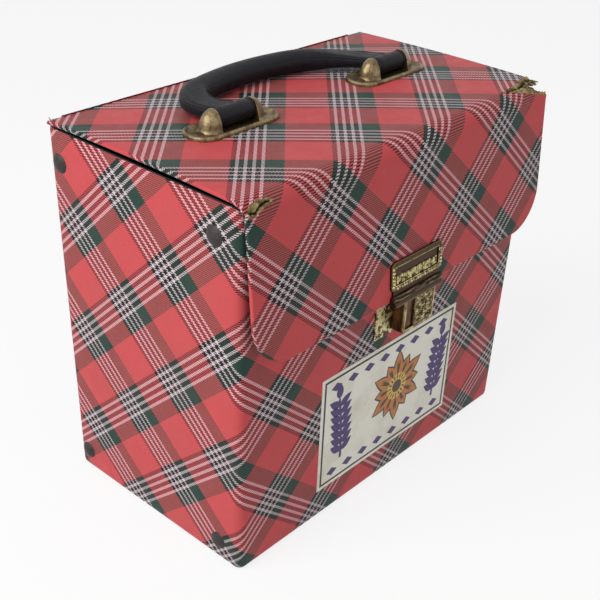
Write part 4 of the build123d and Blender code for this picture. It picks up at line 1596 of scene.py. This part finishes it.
def make_bloom(centre):
    """The large bloom: outlined petals of two lengths with veins, a ring, and a dark middle with rays."""
    look = settings().label
    outline = Print("label_petal_outlines", printed_ink("ink_black_bloom", look.frame_black), 1)
    orange = Print("label_petals", printed_ink("ink_orange", look.orange), 2)
    veins = Print("label_veins", printed_ink("ink_brown", look.brown), 3)
    yellow = Print("label_bloom_ring", printed_ink("ink_yellow", look.yellow), 3)
    middle = Print("label_bloom_middle", printed_ink("ink_middle", look.brown), 4)
    for k, bearing in enumerate(turns_of(12)):
        long = look.bloom * (1.0 if k % 2 else 0.82)
        along = pointing(bearing)
        root = centre + along * (0.22 * look.bloom)
        raised = 0.4 * (k % 2)
        outline.leaf(root, bearing, long - 0.20 * look.bloom, 0.40 * look.bloom, raised)
        orange.leaf(root, bearing, long - 0.25 * look.bloom, 0.32 * look.bloom, raised)
        for order, tilt in enumerate((-0.14, 0.0, 0.14)):
            veins.leaf(root + along * 0.002, bearing + tilt, 0.42 * long, 0.05 * look.bloom, 0.3 * order)
    yellow.ring(centre, 0.15 * look.bloom, 0.36 * look.bloom)
    middle.disc(centre, 0.17 * look.bloom)
    for bearing in turns_of(16):
        root = centre + pointing(bearing) * (0.2 * look.bloom)
        middle.leaf(root, bearing, 0.15 * look.bloom, 0.045 * look.bloom)
    for ink in (outline, orange, veins, yellow, middle):
        ink.finish()


def make_sprigs(ink, width, height):
    """A bold upright sprig at each side and a row of lozenges along the top and the foot."""
    stem_width, leaf_length, leaf_width, tip_width = 0.0018, 0.0098, 0.0048, 0.0052
    lozenge_reach, lozenge_rise, lozenges = 0.0042, 0.0026, 8
    for u, lean in ((0.155, -0.03), (0.875, 0.03)):
        stem = [(width * (u + lean * s * s), height * (0.20 + 0.56 * s)) for s in steps(0, 1, 0.125)]
        ink.stroke(stem, stem_width)
        for joint in stem[1:-1]:
            for turn in (-1, 1):
                ink.leaf(joint, math.radians(90 - 58 * turn), leaf_length, leaf_width, 2 + turn)
        ink.leaf(stem[-1], math.radians(90), leaf_length, tip_width, 4)
    reach, rise = Vector((lozenge_reach, 0)), Vector((0, lozenge_rise))
    for k in range(lozenges):
        for v in (0.115, 0.885):
            middle = Vector((width * (0.10 + 0.80 * k / (lozenges - 1)), height * v))
            ink.shape([middle - reach, middle - rise, middle + reach, middle + rise])


# Loose threads


def strands(name, picker, starts, lean_of, reach, radius, tones, body):
    """Loose bent strands from the given places, of the given radius and least and greatest length."""
    spread, parts = 0.0005, 4
    curve = bpy.data.curves.new(name, "CURVE")
    curve.dimensions = "3D"
    curve.bevel_depth = radius
    curve.bevel_resolution = 2
    curve.use_fill_caps = True
    for start in starts:
        spline = curve.splines.new("NURBS")
        spline.points.add(parts)
        length = picker.uniform(*reach)
        lean = lean_of(picker).normalized()
        for j, point in enumerate(spline.points):
            bend = Vector((picker.uniform(-1, 1), picker.uniform(-1, 1), 0)) * spread * j
            point.co = (*(start + lean * (length * j / parts) + bend), 1)
        spline.order_u = 3
        spline.use_endpoint_u = True
    made = bpy.data.objects.new(name, curve)
    bpy.context.scene.collection.objects.link(made)
    recipe = Recipe(f"{name}_fibre")
    mixed = recipe.mix(recipe.spread(recipe.grain(500), 0.4, 0.6, 0, 1), *tones)
    recipe.bump(recipe.grain(4000), 0.3, 0.00005)
    curve.materials.append(recipe.finish(mixed, 0.8))
    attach(made, body)


def make_threads():
    """Frayed threads at the worn back corner of the left end, and board fibres in the tear at the right."""
    thread_count, fibre_count = 9, 16
    picker = random.Random(7)
    corner = Vector((BODY_LOW.x + 0.0012, BODY_HIGH.y - 0.0016, BODY_HIGH.z - 0.0004))
    starts = []
    for _ in range(thread_count):
        across, deep = picker.uniform(-0.001, 0.004), picker.uniform(-0.006, 0.001)
        starts.append(corner + Vector((across, deep, -0.001)))
    strands(
        "corner_threads",
        picker,
        starts,
        lean_of=lambda p: Vector((p.uniform(-0.35, 0.2), p.uniform(-0.1, 0.5), 1.0)),
        reach=(0.003, 0.007),
        radius=0.00016,
        tones=(paint(150, 48, 50), paint(60, 48, 50)),
        body="case",
    )
    form = LidForm()
    starts = []
    for _ in range(fibre_count):
        starts.append(form.place(picker.uniform(0.1030, 0.1112), picker.uniform(-0.0002, 0.0020), 0.0008))
    strands(
        "board_fibres",
        picker,
        starts,
        lean_of=lambda p: Vector((p.uniform(-0.3, 0.5), -1.0, p.uniform(-0.6, 0.1))),
        reach=(0.001, 0.003),
        radius=0.0003,
        tones=(paint(160, 142, 98), paint(70, 54, 34)),
        body="lid",
    )


# Stage


def make_stage():
    """Pale floor, soft lamps, even sky and the camera."""
    stage = settings().stage
    bpy.context.scene.view_settings.view_transform = "Standard"
    make_floor(stage)
    make_sky(stage)
    add_lamp("key_lamp", stage.key_place, stage.key_watts, stage.key_size)
    add_lamp("fill_lamp", stage.fill_place, stage.fill_watts, stage.fill_size)
    add_camera(stage)


def make_floor(stage):
    """A matt floor that reaches past every view."""
    reach = 12.0
    skin = Skin()
    skin.face([skin.point((x * reach, y * reach, 0)) for x, y in ((-1, -1), (1, -1), (1, 1), (-1, 1))])
    recipe = Recipe("pale_floor")
    dust = recipe.spread(recipe.grain(6, 3), 0.3, 0.7, 0.0, 0.02)
    tone = recipe.mix(dust, stage.floor_colour, paint(225, 225, 225))
    floor = skin.piece("floor", [recipe.finish(tone, 0.9, specular=0.0)])
    whiten_for_camera(recipe, stage.floor_white)


def make_sky(stage):
    """Even light from all around, and plain white where the camera looks past the floor."""
    world = bpy.data.worlds.new("studio_sky")
    bpy.context.scene.world = world
    world.use_nodes = True
    nodes, links = world.node_tree.nodes, world.node_tree.links
    background = nodes["Background"]
    background.inputs["Color"].default_value = (1, 1, 1, 1)
    strength = nodes.new("ShaderNodeMapRange")
    links.new(seen_rays(nodes, links), strength.inputs["Value"])
    strength.inputs["To Min"].default_value = stage.sky
    strength.inputs["To Max"].default_value = 1.0
    links.new(strength.outputs[0], background.inputs["Strength"])


def seen_rays(nodes, links):
    """1 for the rays that show the background: the camera's, and those through gloss and glass."""
    path = nodes.new("ShaderNodeLightPath")
    total = path.outputs["Is Camera Ray"]
    for kind in ("Is Glossy Ray", "Is Transmission Ray"):
        node = nodes.new("ShaderNodeMath")
        node.operation = "MAXIMUM"
        links.new(total, node.inputs[0])
        links.new(path.outputs[kind], node.inputs[1])
        total = node.outputs[0]
    return total


def whiten_for_camera(recipe, share):
    """Let the camera see a share of plain white in a surface, which keeps its shadows."""
    white = recipe.nodes.new("ShaderNodeEmission")
    mixer = recipe.nodes.new("ShaderNodeMixShader")
    seen = recipe.math("MULTIPLY", seen_rays(recipe.nodes, recipe.links), share)
    recipe.links.new(seen, mixer.inputs["Fac"])
    recipe.links.new(recipe.shader.outputs[0], mixer.inputs[1])
    recipe.links.new(white.outputs[0], mixer.inputs[2])
    recipe.links.new(mixer.outputs[0], recipe.nodes["Material Output"].inputs["Surface"])


def add_lamp(name, place, watts, side):
    """A square soft lamp that faces the middle of the case."""
    lamp = bpy.data.lights.new(name, "AREA")
    lamp.energy = watts
    lamp.size = side
    holder = bpy.data.objects.new(name, lamp)
    bpy.context.scene.collection.objects.link(holder)
    holder.location = place
    target = Vector((0, 0, BODY_HIGH.z / 2))
    holder.rotation_euler = (target - Vector(place)).to_track_quat("-Z", "Y").to_euler()


def add_camera(stage):
    """The camera at the photograph's angle."""
    lens = bpy.data.cameras.new("camera")
    lens.lens = stage.focal
    lens.sensor_width = 36
    lens.shift_y = stage.shift
    holder = bpy.data.objects.new("camera", lens)
    bpy.context.scene.collection.objects.link(holder)
    ahead = Vector(
        (
            math.sin(stage.camera_bearing) * math.cos(stage.camera_drop),
            math.cos(stage.camera_bearing) * math.cos(stage.camera_drop),
            -math.sin(stage.camera_drop),
        )
    )
    holder.rotation_mode = "QUATERNION"
    holder.rotation_quaternion = ahead.to_track_quat("-Z", "Y") @ Quaternion((0, 0, 1), stage.camera_roll)
    holder.location = stage.camera_place
    bpy.context.scene.camera = holder


# Operators


class RECORDCASE_OT_body(bpy.types.Operator):
    """Build the covered body"""

    bl_idname = "record_case.body"
    bl_label = "Body"

    def execute(self, context):
        make_body()
        return {"FINISHED"}


class RECORDCASE_OT_lid(bpy.types.Operator):
    """Build the covered lid with its torn bend"""

    bl_idname = "record_case.lid"
    bl_label = "Lid"

    def execute(self, context):
        make_lid()
        return {"FINISHED"}


class RECORDCASE_OT_hinge(bpy.types.Operator):
    """Build the strip of covering that is the hinge"""

    bl_idname = "record_case.hinge"
    bl_label = "Hinge strip"

    def execute(self, context):
        make_hinge()
        return {"FINISHED"}


class RECORDCASE_OT_linings(bpy.types.Operator):
    """Finish the paper linings and the end boards"""

    bl_idname = "record_case.linings"
    bl_label = "Linings"

    def execute(self, context):
        paper = black_paper()
        for node in ("body_lining", "lid_lining", "left_end_stiffener", "right_end_stiffener"):
            wear(node, paper)
        return {"FINISHED"}


class RECORDCASE_OT_rivets(bpy.types.Operator):
    """Finish the lacquered rivets of both ends"""

    bl_idname = "record_case.rivets"
    bl_label = "End rivets"

    def execute(self, context):
        lacquer = rivet_lacquer()
        for side in ("left", "right"):
            wear(f"{side}_end_rivets", lacquer)
        return {"FINISHED"}


class RECORDCASE_OT_handle(bpy.types.Operator):
    """Build the leather handle"""

    bl_idname = "record_case.handle"
    bl_label = "Handle"

    def execute(self, context):
        make_handle()
        wear("handle_core", handle_cord())
        return {"FINISHED"}


class RECORDCASE_OT_plates(bpy.types.Operator):
    """Build the handle plates and finish their rivets, pins and backings"""

    bl_idname = "record_case.plates"
    bl_label = "Handle plates"

    def execute(self, context):
        metal = settings().metal
        brass = cast_brass()
        head = aged_metal("rivet_brass", metal.tarnish, metal.dark, film=0.5, roughness=0.45)
        steel = aged_metal("dull_steel", metal.steel, metal.tarnish, film=0.3, roughness=0.4)
        for side, pin in zip(("left", "right"), PINS):
            make_plate(side, pin, brass)
            wear(f"{side}_plate_rivets", head)
            wear(f"{side}_handle_pin", steel)
            wear(f"{side}_handle_backing", steel)
        return {"FINISHED"}


class RECORDCASE_OT_hasp(bpy.types.Operator):
    """Finish the hasp and add its stamped relief"""

    bl_idname = "record_case.hasp"
    bl_label = "Hasp"

    def execute(self, context):
        metal = settings().metal
        wear("hasp", hasp_brass())
        head = aged_metal("small_rivet_brass", metal.tarnish, metal.dark, film=0.5, roughness=0.4)
        steel = aged_metal("backing_steel", metal.steel, metal.tarnish, film=0.3, roughness=0.4)
        wear("hasp_rivets", head)
        wear("hasp_backing", steel)
        make_hasp_relief()
        make_hasp_lip()
        return {"FINISHED"}


class RECORDCASE_OT_lock(bpy.types.Operator):
    """Finish the lock and add its rim and the pattern of its button"""

    bl_idname = "record_case.lock"
    bl_label = "Lock"

    def execute(self, context):
        metal = settings().metal
        # the lock plate's dark patches are partly painted reflection and shade
        wear("lock_plate", pitted_brass("lock_plate_brass"))
        # the case's pale and dark streaks are partly painted reflection
        wear("lock_case", streaked_brass("lock_case_brass", paint(122, 84, 54), metal.dark))
        brass = aged_metal("lock_slide_brass", metal.dull, metal.dark, film=0.45, roughness=0.34)
        steel = aged_metal("lock_steel", metal.steel, metal.tarnish, film=0.3, roughness=0.35)
        wear("lock_slide", brass)
        for node in ("lock_rivets", "lock_backing"):
            wear(node, steel)
        make_spring(steel)
        make_lock_rim()
        make_button_texture()
        return {"FINISHED"}


class RECORDCASE_OT_label(bpy.types.Operator):
    """Build the printed label"""

    bl_idname = "record_case.label"
    bl_label = "Label"

    def execute(self, context):
        make_label()
        return {"FINISHED"}


class RECORDCASE_OT_threads(bpy.types.Operator):
    """Build the frayed threads"""

    bl_idname = "record_case.threads"
    bl_label = "Frayed threads"

    def execute(self, context):
        make_threads()
        return {"FINISHED"}


class RECORDCASE_OT_stage(bpy.types.Operator):
    """Set up the floor, the lamps, the sky and the camera"""

    bl_idname = "record_case.stage"
    bl_label = "Stage"

    def execute(self, context):
        make_stage()
        return {"FINISHED"}


class RECORDCASE_PT_panel(bpy.types.Panel):
    """The case's steps and sizes in the sidebar"""

    bl_label = "Record Case"
    bl_idname = "RECORDCASE_PT_panel"
    bl_space_type = "VIEW_3D"
    bl_region_type = "UI"
    bl_category = "Record Case"

    def draw(self, context):
        for operator in OPERATORS:
            self.layout.operator(operator.bl_idname)
        for group in ("case", "lid", "cloth", "handle", "plates", "metal", "label", "stage"):
            box = self.layout.box()
            box.label(text=group.capitalize())
            values = getattr(context.scene.record_case, group)
            for name in values.bl_rna.properties.keys():
                if name not in ("rna_type", "name"):
                    box.prop(values, name)


GROUPS = (
    CaseSizes,
    LidSizes,
    ClothSizes,
    HandleSizes,
    PlateSizes,
    FittingFinish,
    LabelLook,
    StageSettings,
    RecordCase,
)
OPERATORS = (
    RECORDCASE_OT_stage,
    RECORDCASE_OT_body,
    RECORDCASE_OT_lid,
    RECORDCASE_OT_hinge,
    RECORDCASE_OT_linings,
    RECORDCASE_OT_rivets,
    RECORDCASE_OT_handle,
    RECORDCASE_OT_plates,
    RECORDCASE_OT_hasp,
    RECORDCASE_OT_lock,
    RECORDCASE_OT_label,
    RECORDCASE_OT_threads,
)


def register():
    """Register the settings, the operators and the panel."""
    for group in (*GROUPS, *OPERATORS, RECORDCASE_PT_panel):
        bpy.utils.register_class(group)
    bpy.types.Scene.record_case = PointerProperty(type=RecordCase)


def unregister():
    """Take them away again."""
    del bpy.types.Scene.record_case
    for group in reversed((*GROUPS, *OPERATORS, RECORDCASE_PT_panel)):
        bpy.utils.unregister_class(group)


def main():
    """Build everything."""
    register()
    for operator in OPERATORS:
        name = operator.bl_idname.split(".")[1]
        getattr(bpy.ops.record_case, name)()


if __name__ == "__main__":
    main()
